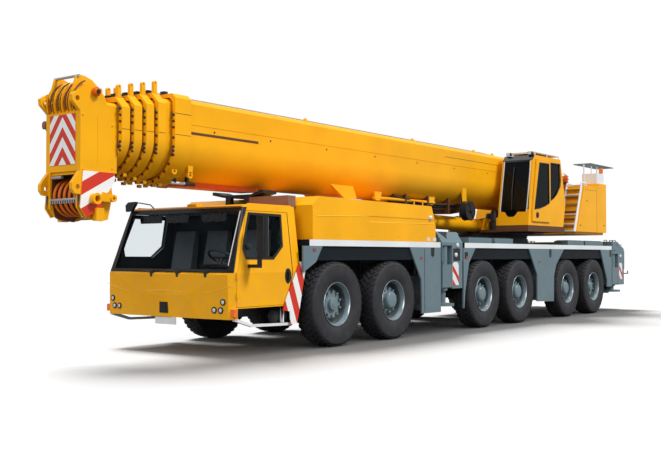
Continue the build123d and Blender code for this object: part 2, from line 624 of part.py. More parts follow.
def door_leaf(shell):
    """Left door: the cab wall inside the door's outline, with its window cut, handle and hinge barrels."""
    leaf = shell & grown(DOOR_OUTLINE, 0, cab_side_y(CAB_ROOF) - CAB_WALL, CAB_HALF + 10)
    leaf = leaf - grown(DOOR_WINDOW, 0, cab_side_y(CAB_ROOF) - CAB_WALL - 1, CAB_HALF + 11)
    handle = side_prism([(1130, 1110), (1190, 1110), (1190, 1220), (1130, 1220)], CAB_HALF - 5, CAB_HALF + 12)
    barrels = [rod((*DOOR_HINGE, low), (*DOOR_HINGE, high), HINGE_RADIUS) for low, high in HINGE_LEVELS]
    return fuse(leaf, handle, *barrels)


def door_mirror():
    """Mirror case and its arm on the left door."""
    arm = fuse(block(1980, 2030, CAB_HALF - 35, 1595, 1290, 1340), block(1980, 2030, 1545, 1595, 1290, 1480))
    case = fillet(block(1950, 2060, 1545, 1705, 1440, 2040).edges().filter_by(Axis.Z), 30)
    return fuse(arm, case)


def door_glass():
    """Left door's pane, leaning with the cab's side."""
    foot, head = SCREEN_BASE[1], CAB_ROOF
    slab = front_prism([(cab_side_y(foot) - 40, foot), (cab_side_y(foot) - 40 + GLASS, foot),
                        (cab_side_y(head) - 40 + GLASS, head), (cab_side_y(head) - 40, head)], CAB_REAR, CAB_NOSE)
    return slab & grown(DOOR_WINDOW, 0, cab_side_y(head) - CAB_WALL, CAB_HALF)


def cab_interior():
    """Seats, dashboard and steering wheel, all standing on the cab's floor."""
    pieces = [side_prism([(NOSE_INNER - GAP, CAB_FLOOR), (NOSE_INNER - GAP, 1165), (2060, 1240), (1980, 1150), (2120, CAB_FLOOR)],
                         -1250, 1250)]
    for y in (720, -120, -860):
        seat = fuse(
            block(1200, 1700, y - 240, y + 240, 1090, 1210),
            side_prism([(1090, 1150), (1250, 1150), (1110, 1870), (1020, 1870)], y - 230, y + 230),
            block(1330, 1600, y - 150, y + 150, CAB_FLOOR, 1090),
        )
        pieces.append(seat)
    column = rod((2060, 720, 1150), (1900, 720, 1420), 35)
    ring = Pos(1890, 720, 1436) * Rot(0, -31, 0) * Torus(220, 17)
    spokes = Pos(1890, 720, 1436) * Rot(0, -31, 0) * Box(40, 440, 16)
    pieces[0] = fuse(pieces[0], column, ring, spokes)
    return group(*pieces)


# ---------------------------------------------------------------- turntable
CHEEK_OUTLINE = [
    (-7250, TABLE_FLOOR), (-7250, 2330), (-7600, 2420), (-8300, 2330), (-9500, 2480), (-10250, 3240),
    (-10450, 3300), (-10750, 3300), (-11000, 3180), (-11500, 2600), (-11700, 2060), (-11700, TABLE_FLOOR),
]


def turntable_frame():
    """Slewing table with its two cheeks, the boom's pivot pin and the luffing cylinder's foot pin."""
    ring = Pos(SLEW_X, 0, TABLE_BOTTOM) * Cylinder(RING_RADIUS - 30, TABLE_FLOOR - TABLE_BOTTOM,
                                                  align=(Align.CENTER, Align.CENTER, Align.MIN))
    floor = plan_prism(
        [(-7250, -660), (-7250, 660), (-9700, 660), (-10000, 1380), (-11800, 1380), (-11800, -1380), (-10000, -1380),
         (-9700, -660)], TABLE_FLOOR, TABLE_FLOOR + TABLE_THICK)
    cheek = side_prism(CHEEK_OUTLINE, CHEEK_Y, CHEEK_Y + CHEEK_THICK)
    boss = bar_y(*BOOM_PIVOT, CHEEK_Y, CHEEK_Y + CHEEK_THICK + 40, 190)
    pin = bar_y(*BOOM_PIVOT, -CHEEK_Y - 110, CHEEK_Y + 110, BOOM_PIN_RADIUS)
    foot_plate = side_prism([(-7330, TABLE_FLOOR + TABLE_THICK), (-7450, 2330), (-7750, 2330), (-7950, TABLE_FLOOR + TABLE_THICK)],
                            LUFF_BARREL_RADIUS + 15, LUFF_BARREL_RADIUS + 65)
    foot_pin = bar_y(*LUFF_FOOT, -LUFF_BARREL_RADIUS - 80, LUFF_BARREL_RADIUS + 80, LUFF_PIN_RADIUS)
    slot = block(-7240, -7850, -LUFF_BARREL_RADIUS - 14, LUFF_BARREL_RADIUS + 14, TABLE_FLOOR - 5, TABLE_FLOOR + TABLE_THICK + 1)
    platform = block(-7120, -9120, CHEEK_Y + CHEEK_THICK - 1, HALF_WIDTH, TABLE_FLOOR + 10, CRANE_CAB_FLOOR)
    cab_pin = bar_y(*CRANE_CAB_PIVOT, CRANE_CAB_INNER_Y, CRANE_CAB_OUTER_Y, CRANE_PIVOT_RADIUS)
    return fuse(ring, floor - slot, cheek, flipped(cheek), boss, flipped(boss), pin, foot_plate, flipped(foot_plate),
                foot_pin, platform, cab_pin)


def tail_housing():
    """Side housings at the tail, with the catwalk and the access ladder."""
    outline = [(-9900, TABLE_FLOOR + TABLE_THICK), (-10380, 3220), (-11300, 3240), (-11330, 3330), (-11860, 3330),
               (-11860, TABLE_FLOOR + TABLE_THICK)]
    housing = side_prism(outline, TAIL_INNER_Y, HALF_WIDTH)
    bridge = block(-11700, -11860, -TAIL_INNER_Y, TAIL_INNER_Y, TABLE_FLOOR + TABLE_THICK, 2700)
    rails = fuse(
        rod((-9840, 1400, TABLE_FLOOR + TABLE_THICK + 25), (-10330, 1400, 3300), 22),
        rod((-9840, 1020, TABLE_FLOOR + TABLE_THICK + 25), (-10330, 1020, 3300), 22),
        *[rod((-9830 - 500 * s, 1020, 2060 + 1240 * s), (-9830 - 500 * s, 1400, 2060 + 1240 * s), 16)
          for s in (0.15, 0.35, 0.55, 0.75, 0.95)],
        rod((-10330, 1400, 3290), (-10600, 1400, 3290), 22),
        rod((-10600, 1400, 3290), (-10600, 1400, 3200), 22),
        rod((-10330, 1020, 3290), (-10600, 1020, 3290), 22),
        rod((-10600, 1020, 3290), (-10600, 1020, 3200), 22),
        block(-9790, -9920, 1000, 1420, TABLE_FLOOR + TABLE_THICK, TABLE_FLOOR + TABLE_THICK + 40),
    )
    box = block(-11340, -11830, 1000, 1400, 3330, 3600)
    post = rod((-10480, 1400, 3200), (-10480, 1400, 3760), 18)
    return group(housing, flipped(housing), bridge, rails - housing, box, post - housing, *[top - box for top in tail_top()])


def tail_top():
    """Folded railing and beacon on top of the tool box."""
    supports = [rod((x, 1230, 3590), (x, 1230, 3820), 14) for x in (-11400, -11780)]
    rails = [rod((-10900, y, 3820), (-12500, y, 3820), 14) for y in (960, 1100, 1240, 1400)]
    bars = [rod((x, 960, 3820), (x, 1400, 3820), 10) for x in range(-12500, -10899, 200)]
    beacon = fuse(rod((-11790, 1340, 3590), (-11790, 1340, 3640), 30), rod((-11790, 1340, 3630), (-11790, 1340, 3770), 55))
    return fuse(*supports, *rails, *bars), beacon


def winch_drum():
    """Hoist drum between the cheeks, behind the boom's foot."""
    drum = bar_y(*WINCH_AXIS, -420, 420, 180)
    flange = bar_y(*WINCH_AXIS, 420, 450, 260)
    return fuse(drum, flange, flipped(flange))


CRANE_CAB_OUTLINE = [
    (-7160, CRANE_CAB_FLOOR), (-7190, 2500), (-7420, 3640), (-7520, CRANE_CAB_ROOF), (-8930, CRANE_CAB_ROOF),
    (-9060, 3300), (-9220, 2700), (-9080, CRANE_CAB_FLOOR),
]
CRANE_DOOR_OUTLINE = [(-7330, 2240), (-7330, 2500), (-7560, 3660), (-8280, 3660), (-8280, 2240)]
CRANE_DOOR_WINDOW = [(-7400, 2500), (-7680, 3590), (-8210, 3600), (-8230, 2680), (-8020, 2610), (-7720, 2540)]
CRANE_SIDE_WINDOW = [(-8350, 2730), (-8350, 3640), (-8920, 3650), (-8960, 3230), (-8930, 3100), (-8740, 2920), (-8560, 2810)]
CRANE_SCREEN_OPENING = [
    # (y, z), with a rounded lobe below
    (715, 2470), (850, 2450), (900, 2370), (950, 2340), (1060, 2340), (1110, 2370), (1170, 2450), (1365, 2450),
    (1365, 3600), (715, 3600),
]


def crane_cab_shell():
    body = side_prism(CRANE_CAB_OUTLINE, CRANE_CAB_INNER_Y, CRANE_CAB_OUTER_Y)
    face = make_face(Polyline([(x, CRANE_CAB_OUTER_Y - CRANE_CAB_WALL, z) for x, z in CRANE_CAB_OUTLINE], close=True))
    inner = offset(face, amount=-CRANE_CAB_WALL, kind=Kind.INTERSECTION)
    depth = CRANE_CAB_OUTER_Y - CRANE_CAB_INNER_Y - 2 * CRANE_CAB_WALL
    return body - extrude(inner, amount=depth, dir=(0, -1, 0))


def crane_cab():
    """Tilting operator's cab with its window openings, roof guard and seat."""
    body = crane_cab_shell()
    outer = CRANE_CAB_OUTER_Y
    middle = (CRANE_CAB_INNER_Y + outer) / 2
    body -= grown(CRANE_DOOR_OUTLINE, -30, outer - CRANE_CAB_WALL - 1, outer + 1)
    body -= grown(CRANE_SIDE_WINDOW, 0, outer - CRANE_CAB_WALL - 1, outer + 1)
    half = (outer - CRANE_CAB_INNER_Y) / 2 - 70
    body -= front_prism(CRANE_SCREEN_OPENING, -7600, -7100)
    body -= bar_y(*CRANE_CAB_PIVOT, CRANE_CAB_INNER_Y - 1, outer + 1, CRANE_PIVOT_RADIUS + PIN_GAP)
    body -= block(-7700, -8700, middle - half, middle + half, CRANE_CAB_ROOF - CRANE_CAB_WALL - 1, CRANE_CAB_ROOF + 1)
    inner_window = grown([(-7500, 2760), (-7640, 3580), (-8700, 3580), (-8700, 2760)], 0,
                         CRANE_CAB_INNER_Y - 1, CRANE_CAB_INNER_Y + CRANE_CAB_WALL + 1)
    body -= inner_window
    seat = fuse(
        block(-8150, -8650, middle - 230, middle + 230, 2480, 2600),
        side_prism([(-8560, 2560), (-8700, 2560), (-8800, 3250), (-8700, 3250)], middle - 220, middle + 220),
        block(-8250, -8550, middle - 140, middle + 140, CRANE_CAB_FLOOR + CRANE_CAB_WALL - 5, 2480),
    )
    guard = fuse(
        *[rod((-7560, y, 3820), (-8900, y, 3820), 14) for y in (CRANE_CAB_INNER_Y + 30, outer - 30)],
        *[rod((x, CRANE_CAB_INNER_Y + 30, 3820), (x, outer - 30, 3820), 14) for x in (-7560, -8230, -8900)],
        *[rod((x, y, CRANE_CAB_ROOF - 10), (x, y, 3820), 14)
          for x in (-7580, -8230, -8900) for y in (CRANE_CAB_INNER_Y + 30, outer - 30)],
    )
    return fuse(body, seat, guard)


def crane_cab_glass():
    """Fixed panes of the operator's cab."""
    outer = CRANE_CAB_OUTER_Y
    middle = (CRANE_CAB_INNER_Y + outer) / 2
    half = (outer - CRANE_CAB_INNER_Y) / 2 - 70
    front = CRANE_CAB_OUTLINE[:3]
    slab = side_prism([(x - 15, z) for x, z in front] + [(x - 15 - GLASS, z) for x, z in reversed(front)],
                      CRANE_CAB_INNER_Y, outer) & front_prism(CRANE_SCREEN_OPENING, -7600, -7100)
    roof = block(-7700, -8700, middle - half, middle + half, CRANE_CAB_ROOF - 30, CRANE_CAB_ROOF - 20)
    side = grown(CRANE_SIDE_WINDOW, 0, outer - 30, outer - 20)
    inner = grown([(-7500, 2760), (-7640, 3580), (-8700, 3580), (-8700, 2760)], 0, CRANE_CAB_INNER_Y + 20, CRANE_CAB_INNER_Y + 30)
    return group(slab, roof, side, inner)


def crane_cab_door():
    """Sliding door that runs rearward outside the cab's wall."""
    outer = CRANE_CAB_OUTER_Y + GAP
    leaf = grown(CRANE_DOOR_OUTLINE, 0, outer, outer + 30)
    leaf -= grown(CRANE_DOOR_WINDOW, 0, outer - 1, outer + 31)
    pane = grown(CRANE_DOOR_WINDOW, 0, outer + 10, outer + 20)
    handle = side_prism([(-7510, 2330), (-7560, 2330), (-7560, 2430), (-7510, 2430)], outer + 30, outer + 45)
    return group(fuse(leaf, handle), pane)


# ---------------------------------------------------------------- boom
def boom_section(step, shrink=0.0):
    """(half width, top z) of a boom section, counted inwards from the base."""
    return BOOM_HALF - step * BOOM_STEP - shrink, BOOM_TOP - step * BOOM_STEP - shrink


def boom_prism(half, top, x_from, x_to, corner=None):
    """Solid with the boom's section: flat top, straight sides and a half-round belly."""
    corner = corner or 0.12 * half
    outline = Polyline([(x_from, half, BOOM_AXIS_Z), (x_from, half, top - corner), (x_from, half - corner, top),
                        (x_from, corner - half, top), (x_from, -half, top - corner), (x_from, -half, BOOM_AXIS_Z)])
    belly = ThreePointArc((x_from, -half, BOOM_AXIS_Z), (x_from, 0, BOOM_AXIS_Z - half), (x_from, half, BOOM_AXIS_Z))
    face = make_face([*outline.edges(), *belly.edges()])
    return extrude(face, amount=x_to - x_from, dir=(1, 0, 0))


def boom_tube(step, x_from, x_to):
    """Hollow boom section, open at both ends."""
    outer = boom_prism(*boom_section(step), x_from, x_to)
    inner = boom_prism(*boom_section(step, BOOM_WALL), x_from - 1, x_to + 1)
    return outer - inner


def mouth_x(number):
    """X of a telescope's mouth when it is drawn in."""
    return BOOM_FRONT + COLLAR_FIRST + (number - 1) * COLLAR_PITCH


def collar(step, x_from, x_to, thick, corner):
    """Ring around the mouth of a boom section."""
    half, top = boom_section(step)
    bore = boom_prism(half - BOOM_WALL, top - BOOM_WALL, x_from - 1, x_to + 1)
    return boom_prism(half + thick, top + thick, x_from, x_to, corner) - bore


def rope_finger(step, x_middle):
    """Upright finger with an eye, on top of a collar."""
    half, top = boom_section(step)
    y = half + COLLAR_THICK - 165
    base = top + COLLAR_THICK - 10
    tip = top + COLLAR_THICK + 150
    blade = side_prism([(x_middle - 32, base), (x_middle - 30, tip), (x_middle + 30, tip), (x_middle + 32, base)],
                       y - 25, y + 25)
    crown = bar_y(x_middle, tip, y - 25, y + 25, 30)
    return fuse(blade, crown) - bar_y(x_middle, tip, y - 30, y + 30, 12)


def boom_base():
    """Outermost boom section with its foot, luffing bracket, underside fittings and cable reel."""
    tube = boom_tube(0, BOOM_REAR, BOOM_FRONT)
    mouth = collar(0, BOOM_FRONT - BASE_COLLAR_LENGTH, BOOM_FRONT, 45, 0.12 * BOOM_HALF)
    boss = bar_y(*BOOM_PIVOT, BOOM_HALF - BOOM_WALL, CHEEK_Y - 10, 170)
    outer = boom_prism(*boom_section(0), BOOM_REAR, BOOM_FRONT)
    plate_top = BOOM_AXIS_Z - BOOM_HALF + 60
    plate = side_prism([(LUFF_EYE[0] - 330, plate_top), (LUFF_EYE[0] - 110, LUFF_EYE[1] - 90), (LUFF_EYE[0] + 90, LUFF_EYE[1] - 90),
                        (LUFF_EYE[0] + 420, plate_top)], 150, 200) - outer
    pin = bar_y(*LUFF_EYE, -150, 150, LUFF_PIN_RADIUS)
    rib = side_prism([(-1150, 2775), (-1530, 2830), (-1885, 2760), (-2005, 2525), (-1645, 2505)], 380, 420)
    keel = side_prism([(450, 2600), (500, 2510), (2300, 2510), (2400, 2600)], -170, 170)
    brackets = [side_prism([(x, 2700), (x + 60, 2530), (x + 200, 2530), (x + 260, 2700)], 330, 380) for x in (-2900, -4900)]
    pipe = rod((-4900, 355, 2580), (-2650, 355, 2580), 30)
    reel = fuse(bar_y(-5900, 2440, 530, 680, 205), block(-5990, -5810, 490, 530, 2440, 2960))
    lugs = [side_prism([(x - 60, BOOM_TOP - 5), (x - 20, BOOM_TOP + 90), (x + 20, BOOM_TOP + 90), (x + 60, BOOM_TOP - 5)], 300, 340)
            for x in (-600, -4100, -6700, -7600)]
    fittings = fuse(rib, *brackets, pipe, *lugs)
    body = fuse(tube, mouth, boss, flipped(boss), keel, fittings, flipped(fuse(rib, *lugs)))
    body -= boom_prism(*boom_section(0, BOOM_WALL), BOOM_REAR - 1, BOOM_FRONT + 1)
    body -= bar_y(*BOOM_PIVOT, -700, 700, BOOM_PIN_RADIUS + PIN_GAP)
    return group(body, pair(plate), pin, reel - outer)


def telescope(number):
    """Telescopic section with the collar at its mouth; the innermost one carries the head."""
    front = mouth_x(number)
    tube = boom_tube(number, TELE_REAR, front)
    if number == TELESCOPES:
        return fuse(tube, boom_head())
    finger = rope_finger(number, front - COLLAR_LENGTH / 2)
    ring = collar(number, front - COLLAR_LENGTH, front, COLLAR_THICK, COLLAR_CORNER)
    return fuse(tube, ring, finger, flipped(finger))


def head_cheek():
    """Left side plate of the head, with its two pin ears."""
    rear = mouth_x(TELESCOPES - 1) + HEAD_GAP
    inner = HEAD_HALF - HEAD_PLATE
    plate = side_prism([(4235, 2545), (4235, 3400), (4290, 3450), (4365, 3520), (4375, 3600), (4300, 3650), (4150, 3720),
                        (3990, 3745), (3870, 3630), (rear, 3310), (rear, 2600), (3860, 2545)], inner, HEAD_HALF)
    ear = side_prism([(4100, 2600), (4235, 2600), (4300, 2520), (4365, 2430), (4365, 2350), (4320, 2290), (4150, 2275),
                      (4060, 2300)], inner, HEAD_HALF)
    boss = bar_y(4000, 3675, HEAD_HALF - 5, HEAD_HALF + 55, 62)
    return fuse(plate, ear, boss)


def sheave_guards():
    """Left guard plate of the upper sheaves and left case plate of the lower ones."""
    upper = side_prism([(4235, 3400), (4290, 3620), (4215, 3870), (4180, 3905), (4068, 3895), (3950, 3856), (3854, 3783),
                        (3733, 3665), (3700, 3560), (3720, 3400)], 215, 245)
    lower = side_prism([(3700, 2600), (3640, 2300), (3720, 1960), (3830, 1935), (4080, 1960), (4150, 2000), (4235, 2110),
                        (4235, 2600)], 280, 311)
    return fuse(upper, lower)


def rear_side_plate():
    """Left slanted plate under the head, with its tube, foot and rear eye."""
    plate = side_prism([(4200, 2600), (3665, 2600), (3665, 2500), (3940, 2060), (4150, 1985), (4245, 2110)],
                       HEAD_HALF - 5, HEAD_HALF + 15)
    tube = bar_y(4020, 2230, 300, HEAD_HALF + 90, 75)
    foot = block(3872, 4003, 340, 420, 1936, 2110)
    arm = side_prism([(3705, 2300), (3880, 2330), (3930, 2200), (3705, 2200)], HEAD_HALF + 10, HEAD_HALF + 35)
    eye = bar_y(3705, 2250, HEAD_HALF, HEAD_HALF + 55, 50)
    body = fuse(plate, tube, foot, arm, eye)
    return body - bar_y(3705, 2250, HEAD_HALF - 10, HEAD_HALF + 60, 22) - bar_y(4020, 2230, 290, HEAD_HALF + 95, 42)


def boom_head():
    """Boom head: side plates, chevron plate, upper and lower sheaves and the pin ears."""
    half = HEAD_HALF
    inner = half - HEAD_PLATE
    start = mouth_x(TELESCOPES)
    left = fuse(head_cheek(), sheave_guards(), rear_side_plate())
    front_plate = side_prism([(4195, 2600), (4235, 2600), (4235, 3400), (4120, 3500), (4090, 3480), (4195, 3385)],
                             -inner - 1, inner + 1)
    sign_plate = block(4230, 4245, -275, 275, 2690, 3370)
    web = block(start - 30, 4200, -inner - 1, inner + 1, 2760, 2800)
    shelf = block(3700, 4200, -inner - 1, inner + 1, 2560, 2600)
    sheaves = [bar_y(*UPPER_SHEAVES, y - 22, y + 22, 270) for y in (-160, -80, 0, 80, 160)]
    lower_sheaves = [bar_y(*LOWER_SHEAVES, y - 26, y + 26, 250) for y in (-220, -110, 0, 110, 220)]
    bars = [
        bar_y(*UPPER_SHEAVES, -inner - 10, inner + 10, 45),
        bar_y(*LOWER_SHEAVES, -inner, inner, 45),
        bar_y(4180, 3885, -262, 262, 20),
        bar_y(3850, 3765, -240, 240, 16),
        bar_y(4218, 2225, -300, 300, 17),
        bar_y(3760, 1985, -300, 300, 22),
    ]
    body = fuse(left, flipped(left), front_plate, sign_plate, web, shelf, *bars, *sheaves, *lower_sheaves)
    for pin in (UPPER_PIN, LOWER_PIN):
        body -= bar_y(*pin, -half - 5, half + 5, HEAD_PIN_RADIUS)
    return body


# ---------------------------------------------------------------- luffing cylinder
def luff_direction():
    dx = LUFF_EYE[0] - LUFF_FOOT[0]
    dz = LUFF_EYE[1] - LUFF_FOOT[1]
    length = math.hypot(dx, dz)
    return dx / length, dz / length, length


def along_luff(distance):
    ux, uz, _ = luff_direction()
    return (LUFF_FOOT[0] + ux * distance, 0, LUFF_FOOT[1] + uz * distance)


def luff_barrel_length():
    """Barrel's length from its foot pin."""
    return luff_direction()[2] - LUFF_EYE_ROOM


def luff_cylinder():
    """Barrel with its foot eye."""
    barrel = rod(along_luff(95), along_luff(luff_barrel_length()), LUFF_BARREL_RADIUS)
    eye = bar_y(*LUFF_FOOT, -LUFF_BARREL_RADIUS, LUFF_BARREL_RADIUS, 140)
    gland = rod(along_luff(luff_barrel_length() - 90), along_luff(luff_barrel_length()), LUFF_BARREL_RADIUS + 12)
    bore = rod(along_luff(240), along_luff(luff_barrel_length() + 1), LUFF_ROD_RADIUS + PIN_GAP)
    return fuse(barrel, eye, gland) - bore - bar_y(*LUFF_FOOT, -300, 300, LUFF_PIN_RADIUS + PIN_GAP)


def luff_rod():
    """Piston rod with its head eye."""
    _, _, length = luff_direction()
    ram = rod(along_luff(260), along_luff(length), LUFF_ROD_RADIUS)
    eye = bar_y(*LUFF_EYE, -130, 130, 125)
    return fuse(ram, eye) - bar_y(*LUFF_EYE, -300, 300, LUFF_PIN_RADIUS + PIN_GAP)


# ---------------------------------------------------------------- assembly
def carrier_nodes(shell):
    nodes = {
        "chassis_frame": chassis_frame(),
        "deck": deck(),
        "side_panels": side_panels(),
        "driver_cab": driver_cab(shell),
        "cab_glass": windscreen(),
        "cab_interior": cab_interior(),
        "engine_cover": engine_cover(),
        "engine": engine(),
        "outrigger_boxes": group(outrigger_box("front"), outrigger_box("rear")),
        "axles": group(*[axle(x, number in DRIVEN_AXLES) for number, x in enumerate(AXLE_X, start=1)]),
    }
    leaf = door_leaf(shell)
    glass = door_glass()
    nodes["left_door"] = fuse(leaf, door_mirror())
    nodes["right_door"] = flipped(leaf)
    nodes["left_door_glass"] = glass
    nodes["right_door_glass"] = flipped(glass)
    return nodes


def running_gear_nodes():
    nodes = {}
    wheels = {True: wheel(True), False: wheel(False)}
    for number, x in enumerate(AXLE_X, start=1):
        left_knuckle = knuckle(x)
        left_wheel = Pos(x, WHEEL_Y, TYRE_RADIUS) * wheels[number in DRIVEN_AXLES]
        for side, side_of in (("left", lambda part: part), ("right", flipped)):
            nodes[f"knuckle_{number}_{side}"] = side_of(left_knuckle)
            nodes[f"wheel_{number}_{side}"] = side_of(left_wheel)
    return nodes


def outrigger_nodes():
    nodes = {}
    for end in OUTRIGGERS:
        for side in ("left", "right"):
            nodes[f"outrigger_beam_{end}_{side}"] = outrigger_beam(end, side)
            nodes[f"outrigger_jack_{end}_{side}"] = outrigger_jack(end, side)
    return nodes


def upper_nodes():
    nodes = {
        "turntable_frame": turntable_frame(),
        "tail_housing": tail_housing(),
        "winch_drum": winch_drum(),
        "crane_cab": crane_cab(),
        "crane_cab_glass": crane_cab_glass(),
        "crane_cab_door": crane_cab_door(),
        "boom_base": boom_base(),
        "luff_cylinder": luff_cylinder(),
        "luff_rod": luff_rod(),
    }
    for number in range(1, TELESCOPES + 1):
        nodes[f"telescope_{number}"] = telescope(number)
    return nodes


def main():
    os.makedirs("parts", exist_ok=True)
    nodes = {**carrier_nodes(cab_shell()), **running_gear_nodes(), **outrigger_nodes(), **upper_nodes()}
    for name, part in nodes.items():
        export(name, part)
    print(len(nodes), "nodes")


if __name__ == "__main__":
    main()
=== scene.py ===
"""Looks of a six-axle mobile crane: finishes, tyres, lamps, fittings and studio.

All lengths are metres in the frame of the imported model: +X forward, +Y left, +Z up, with the
origin on the ground under the middle of the crane.
"""

from __future__ import annotations

import json
import logging
import math
import random
from dataclasses import dataclass
from enum import Enum
from typing import Callable, Iterable, Sequence

import bpy
from mathutils import Matrix, Vector


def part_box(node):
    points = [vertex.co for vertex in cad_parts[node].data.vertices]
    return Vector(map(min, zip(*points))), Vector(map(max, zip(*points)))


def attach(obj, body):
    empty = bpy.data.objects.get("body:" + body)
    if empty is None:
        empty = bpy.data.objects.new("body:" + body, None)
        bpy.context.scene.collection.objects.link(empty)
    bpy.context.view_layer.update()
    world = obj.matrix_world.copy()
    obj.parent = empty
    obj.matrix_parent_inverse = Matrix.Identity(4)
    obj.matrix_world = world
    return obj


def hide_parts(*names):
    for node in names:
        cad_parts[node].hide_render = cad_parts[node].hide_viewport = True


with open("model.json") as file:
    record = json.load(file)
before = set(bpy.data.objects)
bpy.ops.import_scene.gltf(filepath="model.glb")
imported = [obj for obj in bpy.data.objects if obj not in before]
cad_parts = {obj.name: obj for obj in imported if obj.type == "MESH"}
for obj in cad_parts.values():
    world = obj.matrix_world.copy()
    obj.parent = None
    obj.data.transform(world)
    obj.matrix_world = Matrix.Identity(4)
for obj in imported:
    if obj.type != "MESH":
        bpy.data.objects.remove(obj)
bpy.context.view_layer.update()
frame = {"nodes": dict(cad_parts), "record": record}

log = logging.getLogger("crane")

FRONT_AXLE = sum(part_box("wheel_1_left"), Vector()) / 2

Point = tuple[float, float, float]
Pair = tuple[float, float]
Colour = tuple[float, float, float]


def srgb(red: int, green: int, blue: int) -> Colour:
    """Turn an 8-bit screen colour into linear light.

    Args:
        red: Red value from 0 to 255.
        green: Green value from 0 to 255.
        blue: Blue value from 0 to 255.

    Returns:
        The colour as three linear values.
    """

    def linear(value: int) -> float:
        """Linear light of one channel."""
        share = value / 255
        return share / 12.92 if share <= 0.04045 else ((share + 0.055) / 1.055) ** 2.4

    return linear(red), linear(green), linear(blue)


ROAD_DUST = srgb(150, 140, 120)
STRIPE_GROUND = srgb(236, 236, 234)
STRIPE_BAND = srgb(206, 48, 26)


class Side(Enum):
    """The two sides of the crane, with the sign of their Y."""

    LEFT = 1
    RIGHT = -1

    @property
    def label(self) -> str:
        """Lower-case name used in piece names."""
        return self.name.lower()


